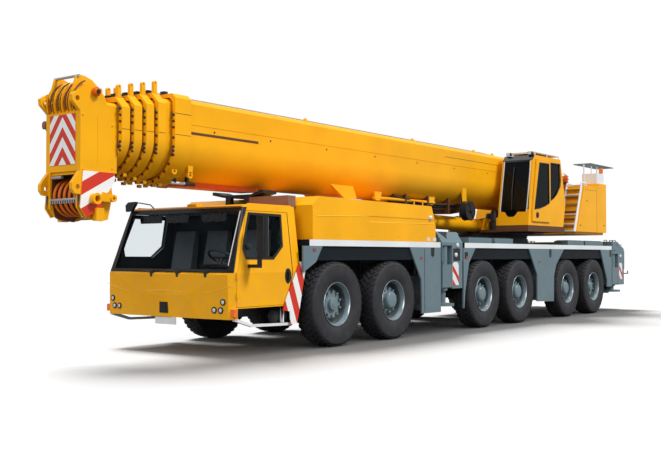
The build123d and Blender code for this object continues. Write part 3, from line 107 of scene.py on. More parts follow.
# ------------------------------------------------------------------ finishes
class NodeTree:
    """Thin helper for building a shader from nodes."""

    def __init__(self, name: str) -> None:
        """Start an empty material with a principled shader.

        Args:
            name: Name of the material.
        """
        self.material = bpy.data.materials.new(name)
        self.material.use_nodes = True
        self.nodes = self.material.node_tree.nodes
        self.links = self.material.node_tree.links
        self.shader = self.nodes["Principled BSDF"]

    def add(self, kind: str, **settings: object) -> bpy.types.Node:
        """Add a node and set its plain properties.

        Args:
            kind: Node type, such as "ShaderNodeTexNoise".
            **settings: Property names and values; a name of an input sets its default.

        Returns:
            The new node.
        """
        node = self.nodes.new(kind)
        for key, value in settings.items():
            if key in node.inputs:
                node.inputs[key].default_value = value
            else:
                setattr(node, key, value)
        return node

    def link(self, source: bpy.types.NodeSocket, target: bpy.types.NodeSocket) -> None:
        """Join two sockets."""
        self.links.new(source, target)

    def feed(self, value: object, target: bpy.types.NodeSocket) -> None:
        """Join a socket to a target, or set the target's own value."""
        if isinstance(value, bpy.types.NodeSocket):
            self.link(value, target)
        else:
            target.default_value = value

    def set(self, values: dict[str, object]) -> None:
        """Feed inputs of the principled shader, named as on the node."""
        for name, value in values.items():
            self.feed(value, self.shader.inputs[name])

    def calc(self, operation: str, *values: object) -> bpy.types.NodeSocket:
        """Work out one value from others.

        Args:
            operation: Operation of the math node, such as "MULTIPLY".
            *values: Sockets or numbers, in the node's order.

        Returns:
            The result's socket.
        """
        node = self.add("ShaderNodeMath", operation=operation)
        for value, target in zip(values, node.inputs):
            self.feed(value, target)
        return node.outputs[0]

    def axes(self) -> bpy.types.NodeOutputs:
        """The X, Y and Z sockets of the object's own coordinates.

        Returns:
            The sockets of X, Y and Z.
        """
        place = self.add("ShaderNodeTexCoord")
        split = self.add("ShaderNodeSeparateXYZ")
        self.link(place.outputs["Object"], split.inputs["Vector"])
        return split.outputs

    def noise(
        self, scale: float, detail: float = 3.0, stretch: Point = (1, 1, 1)
    ) -> bpy.types.NodeSocket:
        """Noise fixed to the object's own coordinates.

        Args:
            scale: Cells to the metre.
            detail: Octaves of finer noise.
            stretch: Scale along each axis before the noise.

        Returns:
            The noise's value socket.
        """
        place = self.add("ShaderNodeTexCoord")
        mapping = self.add("ShaderNodeMapping", Scale=stretch)
        self.link(place.outputs["Object"], mapping.inputs["Vector"])
        noise = self.add("ShaderNodeTexNoise", Scale=scale, Detail=detail)
        self.link(mapping.outputs["Vector"], noise.inputs["Vector"])
        return noise.outputs["Fac"]

    def ramp(self, value: bpy.types.NodeSocket, low: float, high: float) -> bpy.types.NodeSocket:
        """Stretch a value from low..high to 0..1.

        Args:
            value: Socket to remap.
            low: Input that becomes 0.
            high: Input that becomes 1.

        Returns:
            The remapped socket.
        """
        node = self.add("ShaderNodeMapRange")
        node.inputs["From Min"].default_value = low
        node.inputs["From Max"].default_value = high
        self.link(value, node.inputs["Value"])
        return node.outputs["Result"]

    def wander(self, value: bpy.types.NodeSocket, low: float, high: float) -> bpy.types.NodeSocket:
        """Squeeze a value from 0..1 to low..high, for a roughness that wanders.

        Args:
            value: Socket to remap.
            low: Output for 0.
            high: Output for 1.

        Returns:
            The remapped socket.
        """
        node = self.add("ShaderNodeMapRange")
        node.inputs["To Min"].default_value = low
        node.inputs["To Max"].default_value = high
        self.link(value, node.inputs["Value"])
        return node.outputs["Result"]

    def mix(
        self, share: bpy.types.NodeSocket, first: bpy.types.NodeSocket | Colour, second: Colour
    ) -> bpy.types.NodeSocket:
        """Mix two colours by a share.

        Args:
            share: Socket, 0 for the first colour and 1 for the second.
            first: Linear colour, or a colour's socket.
            second: Linear colour.

        Returns:
            The mixed colour's socket.
        """
        node = self.add("ShaderNodeMix", data_type="RGBA")
        colours = [socket for socket in node.inputs if socket.type == "RGBA"]
        is_socket = isinstance(first, bpy.types.NodeSocket)
        self.feed(first if is_socket else (*first, 1), colours[0])
        self.feed((*second, 1), colours[1])
        self.link(share, node.inputs["Factor"])
        return next(socket for socket in node.outputs if socket.type == "RGBA")

    def bump(self, height: bpy.types.NodeSocket, distance: float, strength: float = 1.0) -> None:
        """Raise the surface by a height socket.

        Args:
            height: Height from 0 to 1.
            distance: Height of 1, in metres.
            strength: Share of the bump that is used.
        """
        node = self.add("ShaderNodeBump", Distance=distance, Strength=strength)
        self.link(height, node.inputs["Height"])
        self.link(node.outputs["Normal"], self.shader.inputs["Normal"])


class Finish:
    """A surface finish; its material is made once and shared."""

    _made: dict[str, bpy.types.Material] = {}

    name: str
    slot: str | None = None

    def material(self) -> bpy.types.Material:
        """The finish's material, made on first use."""
        if self.name not in Finish._made:
            Finish._made[self.name] = self.build()
        return Finish._made[self.name]

    def build(self) -> bpy.types.Material:
        """Make the material."""
        raise NotImplementedError


@dataclass(frozen=True)
class Paint(Finish):
    """Sprayed vehicle paint: slight orange peel, cloudiness and road dust low down."""

    name: str
    colour: Colour
    roughness: float = 0.32
    cloud: float = 0.10
    dust: float = 0.25
    coat: float = 0.04
    shine: float = 0.15
    slot: str | None = None

    def build(self) -> bpy.types.Material:
        """Make the paint's material.

        Returns:
            The new material.
        """
        tree = NodeTree(self.name)
        darker = tuple(c * (1 - self.cloud) for c in self.colour)
        clouded = tree.mix(tree.ramp(tree.noise(1.3, 5), 0.35, 0.65), darker, self.colour)
        low_down = tree.ramp(tree.axes()["Z"], 1.5, 0.2)
        patches = tree.ramp(tree.noise(7, 6), 0.42, 0.75)
        dusty = tree.calc("MULTIPLY", tree.calc("MULTIPLY", low_down, patches), self.dust)
        tree.set({
            "Base Color": tree.mix(dusty, clouded, ROAD_DUST),
            "Roughness": tree.wander(
                tree.noise(5, 4), self.roughness - 0.06, self.roughness + 0.14),
            "Coat Weight": self.coat,
            "Specular IOR Level": self.shine,
            "Coat Roughness": 0.12,
        })
        tree.bump(tree.noise(90, 2), 0.0006)
        return tree.material


@dataclass(frozen=True)
class Rubber(Finish):
    """Tyre rubber with dust in its grain."""

    name: str
    colour: Colour
    dust: Colour = srgb(50, 50, 51)
    slot: str | None = None

    def build(self) -> bpy.types.Material:
        """Make the rubber's material.

        Returns:
            The new material.
        """
        tree = NodeTree(self.name)
        dusted = tree.mix(tree.ramp(tree.noise(6, 8), 0.45, 0.8), self.colour, self.dust)
        tree.set({"Base Color": dusted, "Roughness": 0.78})
        tree.bump(tree.noise(160, 4), 0.0009)
        return tree.material


@dataclass(frozen=True)
class Plain(Finish):
    """Moulded plastic, steel or other plain stock, with fine grain."""

    name: str
    colour: Colour
    roughness: float = 0.5
    metallic: float = 0.0
    grain: float = 260.0
    grain_height: float = 0.0003
    stretch: Point = (1, 1, 1)
    slot: str | None = None

    def build(self) -> bpy.types.Material:
        """Make the material.

        Returns:
            The new material.
        """
        tree = NodeTree(self.name)
        darker = tuple(c * 0.82 for c in self.colour)
        low, high = max(0.03, self.roughness - 0.08), min(1.0, self.roughness + 0.08)
        tree.set({
            "Base Color": tree.mix(tree.ramp(tree.noise(9, 5), 0.35, 0.7), darker, self.colour),
            "Metallic": self.metallic,
            "Roughness": tree.wander(tree.noise(14, 4), low, high),
        })
        tree.bump(tree.noise(self.grain, 2, self.stretch), self.grain_height)
        return tree.material


@dataclass(frozen=True)
class Glazing(Finish):
    """Tinted glass that shows what is behind it, with a faint film of dust."""

    name: str
    colour: Colour
    opacity: float
    slot: str | None = "glass"

    def build(self) -> bpy.types.Material:
        """Make the glass, clear when seen square on and brighter along its surface.

        Returns:
            The new material.
        """
        tree = NodeTree(self.name)
        clear = tree.add("ShaderNodeBsdfTransparent")
        clear.inputs["Color"].default_value = (*self.colour, 1)
        tree.set({
            "Base Color": (*srgb(20, 34, 40), 1),
            "Specular IOR Level": 0.7,
            "Roughness": tree.wander(tree.noise(4, 4), 0.02, 0.07),
        })
        facing = tree.add("ShaderNodeLayerWeight").outputs["Facing"]
        share = tree.calc("MULTIPLY_ADD", tree.calc("POWER", facing, 5.0), 0.85, self.opacity)
        share.node.use_clamp = True
        mix = tree.add("ShaderNodeMixShader")
        for source, target in zip((share, clear.outputs[0], tree.shader.outputs[0]), mix.inputs):
            tree.link(source, target)
        tree.link(mix.outputs[0], tree.nodes["Material Output"].inputs["Surface"])
        return tree.material


@dataclass(frozen=True)
class Stripes(Finish):
    """Red and white warning stripes, laid out by place, under a clear film."""

    name: str
    along: Point
    period: float
    shift: float = 0.0
    red_share: float = 0.5
    slot: str | None = "boom_yellow"

    def build(self) -> bpy.types.Material:
        """Make the striped material.

        Returns:
            The new material.
        """
        tree = NodeTree(self.name)
        x, y, z = tree.axes()
        total = self.shift
        for source, share in zip((x, tree.calc("ABSOLUTE", y), z), self.along):
            total = tree.calc("MULTIPLY_ADD", source, share / self.period, total)
        red = tree.calc("LESS_THAN", tree.calc("FRACT", total), self.red_share)
        tree.set({"Base Color": tree.mix(red, STRIPE_GROUND, STRIPE_BAND), "Roughness": 0.35})
        tree.bump(tree.noise(400, 2), 0.0002)
        return tree.material


@dataclass(frozen=True)
class Lens(Finish):
    """Moulded lamp lens with fine flutes."""

    name: str
    colour: Colour
    glow: float = 0.0
    slot: str | None = "glass"

    def build(self) -> bpy.types.Material:
        """Make the lens.

        Returns:
            The new material.
        """
        tree = NodeTree(self.name)
        deeper = tuple(c * 0.75 for c in self.colour)
        tree.set({
            "Base Color": tree.mix(tree.ramp(tree.noise(40, 2), 0.3, 0.7), deeper, self.colour),
            "Roughness": 0.12,
            "Coat Weight": 0.8,
            "Emission Color": (*self.colour, 1),
            "Emission Strength": self.glow,
        })
        tree.bump(tree.noise(300, 1, (1, 8, 1)), 0.0006)
        return tree.material


BOOM_YELLOW = Paint("boom_yellow_paint", (0.92, 0.425, 0.006), slot="boom_yellow")
CARRIER_GREY = Paint(
    "carrier_grey_paint", srgb(104, 124, 132), roughness=0.42, coat=0.15, slot="carrier_grey")
FRAME_GREY = Paint(
    "frame_grey_paint", srgb(64, 74, 80), roughness=0.5, coat=0.1, dust=0.5, slot="frame_grey")
FASCIA_DARK = Paint(
    "fascia_dark_paint", srgb(18, 26, 33), roughness=0.5, coat=0.0, shine=0.15, slot="deck_white")
RAIL_WHITE = Paint(
    "rail_white_paint", srgb(226, 229, 232), roughness=0.4, coat=0.1, slot="deck_white")
RIM_GREY = Paint(
    "rim_grey_paint", srgb(112, 132, 140), roughness=0.34, coat=0.2, dust=0.1, slot="carrier_grey")
RIM_FLANGE = Plain(
    "rim_flange_metal", srgb(196, 204, 210), roughness=0.3, metallic=0.85, slot="carrier_grey")
TYRE_RUBBER = Rubber("tyre_rubber", srgb(34, 35, 40), slot="tyre")
BLACK_PLASTIC = Plain("black_plastic", srgb(26, 27, 29), roughness=0.45, slot="interior")
SEAT_GREY = Plain("seat_grey", srgb(92, 100, 106), roughness=0.85, grain=900, slot="interior")
INTERIOR_GREY = Plain("interior_grey", srgb(92, 98, 104), roughness=0.7, slot="interior")
ENGINE_DARK = Plain("engine_dark", srgb(40, 41, 42), roughness=0.6, slot="engine_block")
ROD_STEEL = Plain("rod_steel", srgb(128, 116, 96), roughness=0.22, metallic=1.0, slot="rod_chrome")
WINCH_STEEL = Plain(
    "winch_steel", srgb(110, 106, 98), roughness=0.45, metallic=0.8, slot="winch_steel")
BLACK_TRIM = Plain(
    "black_trim", srgb(14, 15, 17), roughness=0.28, grain_height=0.0001, slot="interior")
DARK_STEEL = Plain("dark_steel", srgb(52, 52, 52), roughness=0.5, metallic=0.6, slot="winch_steel")
PALE_STEEL = Plain(
    "pale_steel", srgb(196, 198, 200), roughness=0.38, metallic=0.7, stretch=(1, 1, 6),
    slot="winch_steel")
BROWN_CASE = Plain("brown_case", srgb(134, 96, 80), roughness=0.6, slot="engine_block")
CAB_TRIM = Plain("cab_trim", srgb(38, 54, 60), roughness=0.75, slot="interior")
BOSS_ORANGE = Paint("boss_orange_paint", srgb(214, 104, 22), slot="boom_yellow")
STRIPE_RED = Paint("stripe_red_film", STRIPE_BAND, slot="boom_yellow")
MARKER_RED = Lens("marker_red_lens", srgb(168, 48, 30), 0.02)
# Orange painted shade for the boom's belly and the clamps round it: yellow paint as it looks in
# shadow.
BELLY_SHADE_ORANGE = Paint("belly_shade_orange_paint", srgb(226, 98, 22), slot="boom_yellow")
# Dark brown painted shade, for the collar bolts and hoses under the boom.
DEEP_SHADE_BROWN = Plain("deep_shade_brown", srgb(58, 32, 14), roughness=0.5, slot="frame_grey")
# Pale yellow for crease lines: a painted highlight along creases of the sheet.
CREASE_HIGHLIGHT_YELLOW = Paint("crease_highlight_paint", srgb(252, 206, 70), slot="boom_yellow")
# Darker grey for the rim's well: painted shade in the hollow of the wheel.
RIM_WELL_SHADE = Paint("rim_well_shade_paint", srgb(58, 72, 80), roughness=0.5, coat=0.0, slot="carrier_grey")
SHADE_BROWN = Plain("shade_brown", srgb(96, 54, 18), roughness=0.6, slot="frame_grey")
CAB_GLASS = Glazing("cab_glass_tint", srgb(250, 252, 253), 0.03)
DARK_GLASS = Glazing("dark_glass_tint", srgb(96, 112, 118), 0.20)
CLEAR_LENS = Lens("clear_lens", srgb(214, 218, 222), 0.05)
AMBER_LENS = Lens("amber_lens", srgb(240, 110, 14), 0.12)
RED_LENS = Lens("red_lens", srgb(200, 30, 24), 0.08)
HEAD_STRIPES = Stripes("head_chevrons", (0, 1.3, 1), 0.27, 0.63)
PLATE_STRIPES = Stripes("side_plate_stripes", (0.467, 0, 0.884), 0.31, 0.2)
FLAP_STRIPES = Stripes("mud_flap_stripes", (0.935, 0, -0.355), 0.262, 0.22, 0.52)


# ------------------------------------------------------------------ shapes
CENTRE: Point = (0, 0, 0)
FORWARD: Point = (1, 0, 0)
LEFTWARD: Point = (0, 1, 0)
UPWARD: Point = (0, 0, 1)


class Shape:
    """Faces of one piece, each with its finish, that become one mesh."""

    def __init__(self, name: str) -> None:
        """Start an empty piece.

        Args:
            name: Name of the piece.
        """
        self.name = name
        self.points: list[Vector] = []
        self.faces: list[tuple[int, ...]] = []
        self.marks: list[int] = []
        self.finishes: list[Finish] = []

    def _mark(self, finish: Finish) -> int:
        """Index of a finish in this piece."""
        if finish not in self.finishes:
            self.finishes.append(finish)
        return self.finishes.index(finish)

    def add(
        self, points: Iterable[Sequence[float]], faces: Iterable[Sequence[int]], finish: Finish
    ) -> None:
        """Add faces over new points.

        Args:
            points: Corner positions.
            faces: Faces as indices into those points.
            finish: Finish of the faces.
        """
        start = len(self.points)
        self.points.extend(Vector(p) for p in points)
        mark = self._mark(finish)
        for face in faces:
            self.faces.append(tuple(start + i for i in face))
            self.marks.append(mark)

    def loops(
        self, rings: Sequence[Sequence[Vector]], finish: Finish, caps: bool = True,
        closed: bool = False
    ) -> None:
        """Skin a row of rings with equal numbers of points.

        Args:
            rings: Rings of points.
            finish: Finish of the skin.
            caps: Whether the two ends are closed.
            closed: Whether the last ring joins the first.
        """
        count = len(rings[0])
        points = [p for ring in rings for p in ring]
        faces: list[tuple[int, ...]] = []
        spans = len(rings) if closed else len(rings) - 1
        for i in range(spans):
            a, b = i * count, ((i + 1) % len(rings)) * count
            faces += [
                (a + k, a + (k + 1) % count, b + (k + 1) % count, b + k)
                for k in range(count)]
        if caps and not closed:
            faces.append(tuple(reversed(range(count))))
            faces.append(tuple((len(rings) - 1) * count + k for k in range(count)))
        self.add(points, faces, finish)

    def prism(
        self, outline: Sequence[Pair], axis: str, low: float, high: float, finish: Finish
    ) -> None:
        """Push an outline along an axis.

        Args:
            outline: Corners in the other two axes, in X, Y, Z order.
            axis: "X", "Y" or "Z".
            low: Where the prism starts.
            high: Where it ends.
            finish: Finish of its faces.
        """
        place: dict[str, Callable[[float, float, float], Point]] = {
            "X": lambda a, b, t: (t, a, b),
            "Y": lambda a, b, t: (a, t, b),
            "Z": lambda a, b, t: (a, b, t),
        }
        rings = [[Vector(place[axis](a, b, t)) for a, b in outline] for t in (low, high)]
        self.loops(rings, finish)

    def box(self, low: Point, high: Point, finish: Finish) -> None:
        """Block between two corners."""
        corners = [(low[0], low[1]), (high[0], low[1]), (high[0], high[1]), (low[0], high[1])]
        self.prism(corners, "Z", low[2], high[2], finish)

    def tube(self, path: Sequence[Point], radius: float, finish: Finish, sides: int = 10) -> None:
        """Round bar along a path.

        Args:
            path: Points of its centre line.
            radius: Radius of the bar.
            finish: Finish of its faces.
            sides: Sides of its section.
        """
        line = [Vector(p) for p in path]
        rings = []
        steep = abs((line[1] - line[0]).normalized().z) >= 0.9
        normal = Vector((1, 0, 0)) if steep else Vector((0, 0, 1))
        for i, here in enumerate(line):
            before = line[max(i - 1, 0)]
            after = line[min(i + 1, len(line) - 1)]
            run = (after - before).normalized()
            side = run.cross(normal).normalized()
            up = side.cross(run).normalized()
            normal = up
            rings.append([here + radius * (math.cos(t) * side + math.sin(t) * up)
                          for t in (math.tau * k / sides for k in range(sides))])
        self.loops(rings, finish)

    def turn(
        self, profile: Sequence[Pair], centre: Point, axis: Point, finish: Finish,
        segments: int = 24, closed: bool = False
    ) -> None:
        """Turn a profile about an axis.

        Args:
            profile: (radius, distance along the axis) pairs.
            centre: Where distance 0 lies.
            axis: Direction of the axis.
            finish: Finish of the faces.
            segments: Steps round the axis.
            closed: Whether the profile's end joins its start.
        """
        along = Vector(axis).normalized()
        seed = Vector((0, 0, 1)) if abs(along.z) < 0.9 else Vector((1, 0, 0))
        first = along.cross(seed).normalized()
        second = along.cross(first)
        middle = Vector(centre)
        rings = []
        for radius, out in profile:
            r = max(radius, 1e-5)
            rings.append([middle + along * out + r * (math.cos(t) * first + math.sin(t) * second)
                          for t in (math.tau * k / segments for k in range(segments))])
        self.loops(rings, finish, caps=False, closed=closed)

    def rod(self, start: Point, end: Point, radius: float, finish: Finish, sides: int = 16) -> None:
        """Round bar between two points."""
        self.tube([start, end], radius, finish, sides)

    def hexagon(
        self, centre: Point, axis: Point, radius: float, height: float, finish: Finish
    ) -> None:
        """Bolt head that stands on a point, with a chamfered top."""
        self.turn(
            [(radius, 0), (radius, 0.75 * height), (0.8 * radius, height), (0, height)], centre,
            axis, finish, 6)

    def button(
        self, centre: Point, axis: Point, radius: float, rim: float, height: float, finish: Finish,
        segments: int = 10
    ) -> None:
        """Round plug that stands on a point: a straight rim and a slightly pointed face."""
        self.turn([(radius, 0), (radius, rim), (0, height)], centre, axis, finish, segments)

    def eye(
        self, centre: Point, outer: float, inner: float, reach: Pair, finish: Finish,
        segments: int = 18
    ) -> None:
        """Flat ring across the crane, between two distances from its centre.

        Args:
            centre: Middle of the hole.
            outer: Outer radius.
            inner: Radius of the hole.
            reach: The two distances, to the left of the centre.
            finish: Finish of its faces.
            segments: Steps round the hole.
        """
        low, high = reach
        profile = [(outer, low), (outer, high), (inner, high), (inner, low)]
        self.turn(profile, centre, LEFTWARD, finish, segments, closed=True)

    def mirrored(self) -> None:
        """Add the same faces on the other side of the crane."""
        start = len(self.points)
        self.points += [Vector((p.x, -p.y, p.z)) for p in self.points]
        self.faces += [tuple(start + i for i in reversed(face)) for face in self.faces]
        self.marks += self.marks

    def mesh(self, smooth: float = 40.0) -> bpy.types.Mesh:
        """Make the mesh.

        Args:
            smooth: Edges flatter than this many degrees are shaded smooth.

        Returns:
            The mesh with its materials.
        """
        data = bpy.data.meshes.new(self.name)
        data.from_pydata([tuple(p) for p in self.points], [], self.faces)
        for finish in self.finishes:
            data.materials.append(finish.material())
        data.polygons.foreach_set("material_index", self.marks)
        data.polygons.foreach_set("use_smooth", [True] * len(self.faces))
        data.validate()
        data.update()
        data.set_sharp_from_angle(angle=math.radians(smooth))
        return data

    def place(self, body: str, smooth: float = 40.0, bevel: float = 0.0) -> bpy.types.Object:
        """Put the piece in the scene, riding on a body.

        Args:
            body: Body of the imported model.
            smooth: Angle for smooth shading, in degrees.
            bevel: Width of the rounding on sharp edges, in metres.

        Returns:
            The new object.
        """
        return install(self.mesh(smooth), self.name, body, bevel)


def install(data: bpy.types.Mesh, name: str, body: str, bevel: float = 0.0,
            matrix: Matrix | None = None) -> bpy.types.Object:
    """Link a mesh as a piece that rides on a body.

    Args:
        data: Mesh of the piece.
        name: Name of the piece.
        body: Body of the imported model.
        bevel: Width of the rounding on sharp edges.
        matrix: Where the piece stands; None leaves it at the origin.

    Returns:
        The new object.
    """
    piece = bpy.data.objects.new(name, data)
    bpy.context.scene.collection.objects.link(piece)
    if matrix is not None:
        piece.matrix_world = matrix
    if bevel:
        rounding = piece.modifiers.new("rounding", "BEVEL")
        rounding.width = bevel
        rounding.segments = 2
        rounding.limit_method = "ANGLE"
        rounding.angle_limit = math.radians(40)
        rounding.harden_normals = True
    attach(piece, body)
    return piece


def dress(
    node: str, *finishes: Finish, choose: Callable[[Vector, Vector], Finish] | None = None
) -> None:
    """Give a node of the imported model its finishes.

    Args:
        node: Name of the node.
        *finishes: Finishes of the node's faces.
        choose: Picks a face's finish from its centre and normal; None uses the first.
    """
    data = frame["nodes"][node].data
    data.materials.clear()
    for finish in finishes:
        data.materials.append(finish.material())
    for face in data.polygons:
        chosen = choose(face.center, face.normal) if choose else finishes[0]
        face.material_index = finishes.index(chosen)


# ------------------------------------------------------------------ wheels
@dataclass
class WheelSet:
    """Tyres and rims of the six axles."""

    radius: float = 0.685
    tread_depth: float = 0.018
    half_width: float = 0.192
    rim_radius: float = 0.352
    lugs: int = 40
    axles: int = 6
    nuts: int = 10
    nut_circle: float = 0.203
    driven_hub: float = 0.150
    plain_hub: float = 0.105
    driven: tuple[int, ...] = (2, 3, 4, 5)

    def tyre(self, shape: Shape) -> None:
        """Carcass and tread blocks, turned about Y with the outer face towards +Y.

        Args:
            shape: Piece that takes the tyre.
        """
        w, r, depth = self.half_width, self.radius, self.tread_depth
        base = r - depth
        profile = [
            (0.345, 0.140), (0.362, 0.152), (0.380, 0.158), (0.400, 0.168), (0.440, 0.180),
            (0.500, 0.190), (0.560, w), (0.600, w - 0.001), (0.604, w - 0.005), (0.612, w - 0.002),
            (0.636, w - 0.008), (base - 0.012, 0.172), (base, 0.150), (base, 0.05)]
        whole = profile + [(radius, -out) for radius, out in reversed(profile)]
        shape.turn(whole, CENTRE, LEFTWARD, TYRE_RUBBER, 96)
        step = math.tau / self.lugs
        for row, (inner, outer, share, twist, phase) in enumerate((
            (0.098, 0.176, 0.60, 0.10, 0.0), (-0.176, -0.098, 0.60, -0.10, 0.5),
            (0.006, 0.086, 0.62, 0.42, 0.35), (-0.086, -0.006, 0.62, -0.42, 0.85),
        )):
            for k in range(self.lugs):
                self._lug(
                    shape, (k + phase) * step, inner, outer, share * step, twist * step, base, r)

    def _lug(
        self, shape: Shape, angle: float, inner: float, outer: float, arc: float, twist: float,
        base: float, top: float
    ) -> None:
        """One tread block between two distances from the tyre's centre plane.

        Args:
            shape: Piece that takes the block.
            angle: Where the block stands round the wheel.
            inner: One distance from the centre plane.
            outer: The other distance.
            arc: Angle that the block covers.
            twist: Angle between its two ends.
            base: Radius of its foot.
            top: Radius of its tread.
        """
        edge = 0.010
        shoulder = 0.012 if max(abs(inner), abs(outer)) > 0.12 else 0.0
        points = []
        for radius, shrink in ((base - 0.004, 0.0), (top, 1.0)):
            for out, sign in ((inner, -1), (outer, 1)):
                for turn in (-0.5, 0.5):
                    slope = twist * (0.5 if sign > 0 else -0.5)
                    a = angle + slope + turn * (arc - shrink * 0.010)
                    far = max(abs(inner), abs(outer)) == abs(out)
                    drop = shoulder * shrink if far else 0.0
                    y = out - sign * edge * 0.4 * shrink
                    points.append((math.cos(a) * (radius - drop), y, math.sin(a) * (radius - drop)))
        faces = [(4, 5, 7, 6), (0, 2, 3, 1), (0, 1, 5, 4), (2, 6, 7, 3), (0, 4, 6, 2), (1, 3, 7, 5)]
        shape.add(points, faces, TYRE_RUBBER)

    def rim(self, shape: Shape, driven: bool) -> None:
        """Rim well, disc, hub and wheel nuts, each turned from (radius, distance out) pairs.

        Args:
            shape: Piece that takes the rim.
            driven: Whether the axle is driven, with the larger hub.
        """
        hub = self.driven_hub if driven else self.plain_hub
        flange = [
            (0.345, 0.138), (0.352, 0.150), (0.357, 0.158), (0.353, 0.164), (0.345, 0.161),
            (0.338, 0.148)]
        seat = [(0.338, 0.148), (0.330, 0.128), (0.320, 0.118), (0.315, 0.085)]
        barrel = [
            (0.315, 0.085), (0.306, 0.050), (0.300, 0.000), (0.290, -0.030), (0.276, -0.034),
            (0.262, -0.018), (0.252, 0.004)]
        disc = [
            (0.252, 0.004), (0.246, 0.018), (0.232, 0.036), (0.205, 0.042), (hub + 0.012, 0.042),
            (hub + 0.004, 0.048), (hub, 0.060)]
        if driven:
            cap = [
                (hub, 0.118), (hub - 0.006, 0.128), (hub - 0.030, 0.140), (hub - 0.060, 0.145),
                (0, 0.145)]
        else:
            cap = [(hub, 0.085), (hub - 0.010, 0.095), (0.055, 0.098), (0.050, 0.104), (0, 0.104)]
        back = [
            (0.345, -0.138), (0.352, -0.156), (0.340, -0.158), (0.322, -0.120), (0.316, -0.050),
            (0.30, -0.040), (0.08, -0.040)]
        # The barrel of the well takes the darker grey: painted shade in the rim's hollow.
        for profile, finish, segments in (
            (flange, RIM_FLANGE, 64), (seat, RIM_GREY, 64), (barrel, RIM_WELL_SHADE, 64),
            (disc + cap, RIM_GREY, 64), (back, FRAME_GREY, 48),
        ):
            shape.turn(profile, CENTRE, LEFTWARD, finish, segments)
        self._nuts(shape)
        if driven:
            for k in range(self.nuts):
                spot = 0.118 * self._spoke(k) + Vector((0, 0.132, 0))
                shape.hexagon(tuple(spot), LEFTWARD, 0.010, 0.012, RIM_GREY)

    def _spoke(self, number: float) -> Vector:
        """Unit vector out from the hub, counted in nut spacings."""
        angle = math.tau * number / self.nuts
        return Vector((math.cos(angle), 0.0, math.sin(angle)))

    def _nuts(self, shape: Shape) -> None:
        """Wheel nuts on black rings of painted shade, and black discs of painted shade for the
        disc's hand holes between them.

        Args:
            shape: Piece that takes them.
        """
        # Black ring behind each nut and black disc at each hand hole: painted shade of the recess
        # and of the openings.
        shade_ring = [(0.027, 0), (0.027, 0.004), (0.019, 0.005)]
        hole = [(0.028, 0.0), (0.030, 0.002), (0.0, 0.003)]
        for k in range(self.nuts):
            spot = tuple(self.nut_circle * self._spoke(k + 0.5) + Vector((0, 0.040, 0)))
            shape.turn(shade_ring, spot, LEFTWARD, BLACK_TRIM, 14)
            shape.hexagon(spot, LEFTWARD, 0.019, 0.040, RIM_FLANGE)
            out = self._spoke(k)
            middle, lean = 0.256 * out + Vector((0, -0.006, 0)), 0.88 * out + Vector((0, 0.47, 0))
            shape.turn(hole, tuple(middle), tuple(lean), BLACK_TRIM, 16)

    def build(self) -> int:
        """Build both kinds of wheel and set them on their twelve bodies.

        Returns:
            How many wheels were placed.
        """
        meshes: dict[bool, bpy.types.Mesh] = {}
        for driven in (True, False):
            shape = Shape("wheel_driven" if driven else "wheel_plain")
            self.tyre(shape)
            self.rim(shape, driven)
            meshes[driven] = shape.mesh(35)
        placed = 0
        for number in range(1, self.axles + 1):
            for side in Side:
                name = f"wheel_{number}_{side.label}"
                low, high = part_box(name)
                centre = (low + high) / 2
                turn = Matrix.Identity(4) if side is Side.LEFT else Matrix.Rotation(math.pi, 4, "Z")
                matrix = Matrix.Translation(centre) @ turn
                piece = install(
                    meshes[number in self.driven], f"tyre_and_rim_{number}_{side.label}", name,
                    matrix=matrix)
                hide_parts(name)
                placed += 1
        return placed


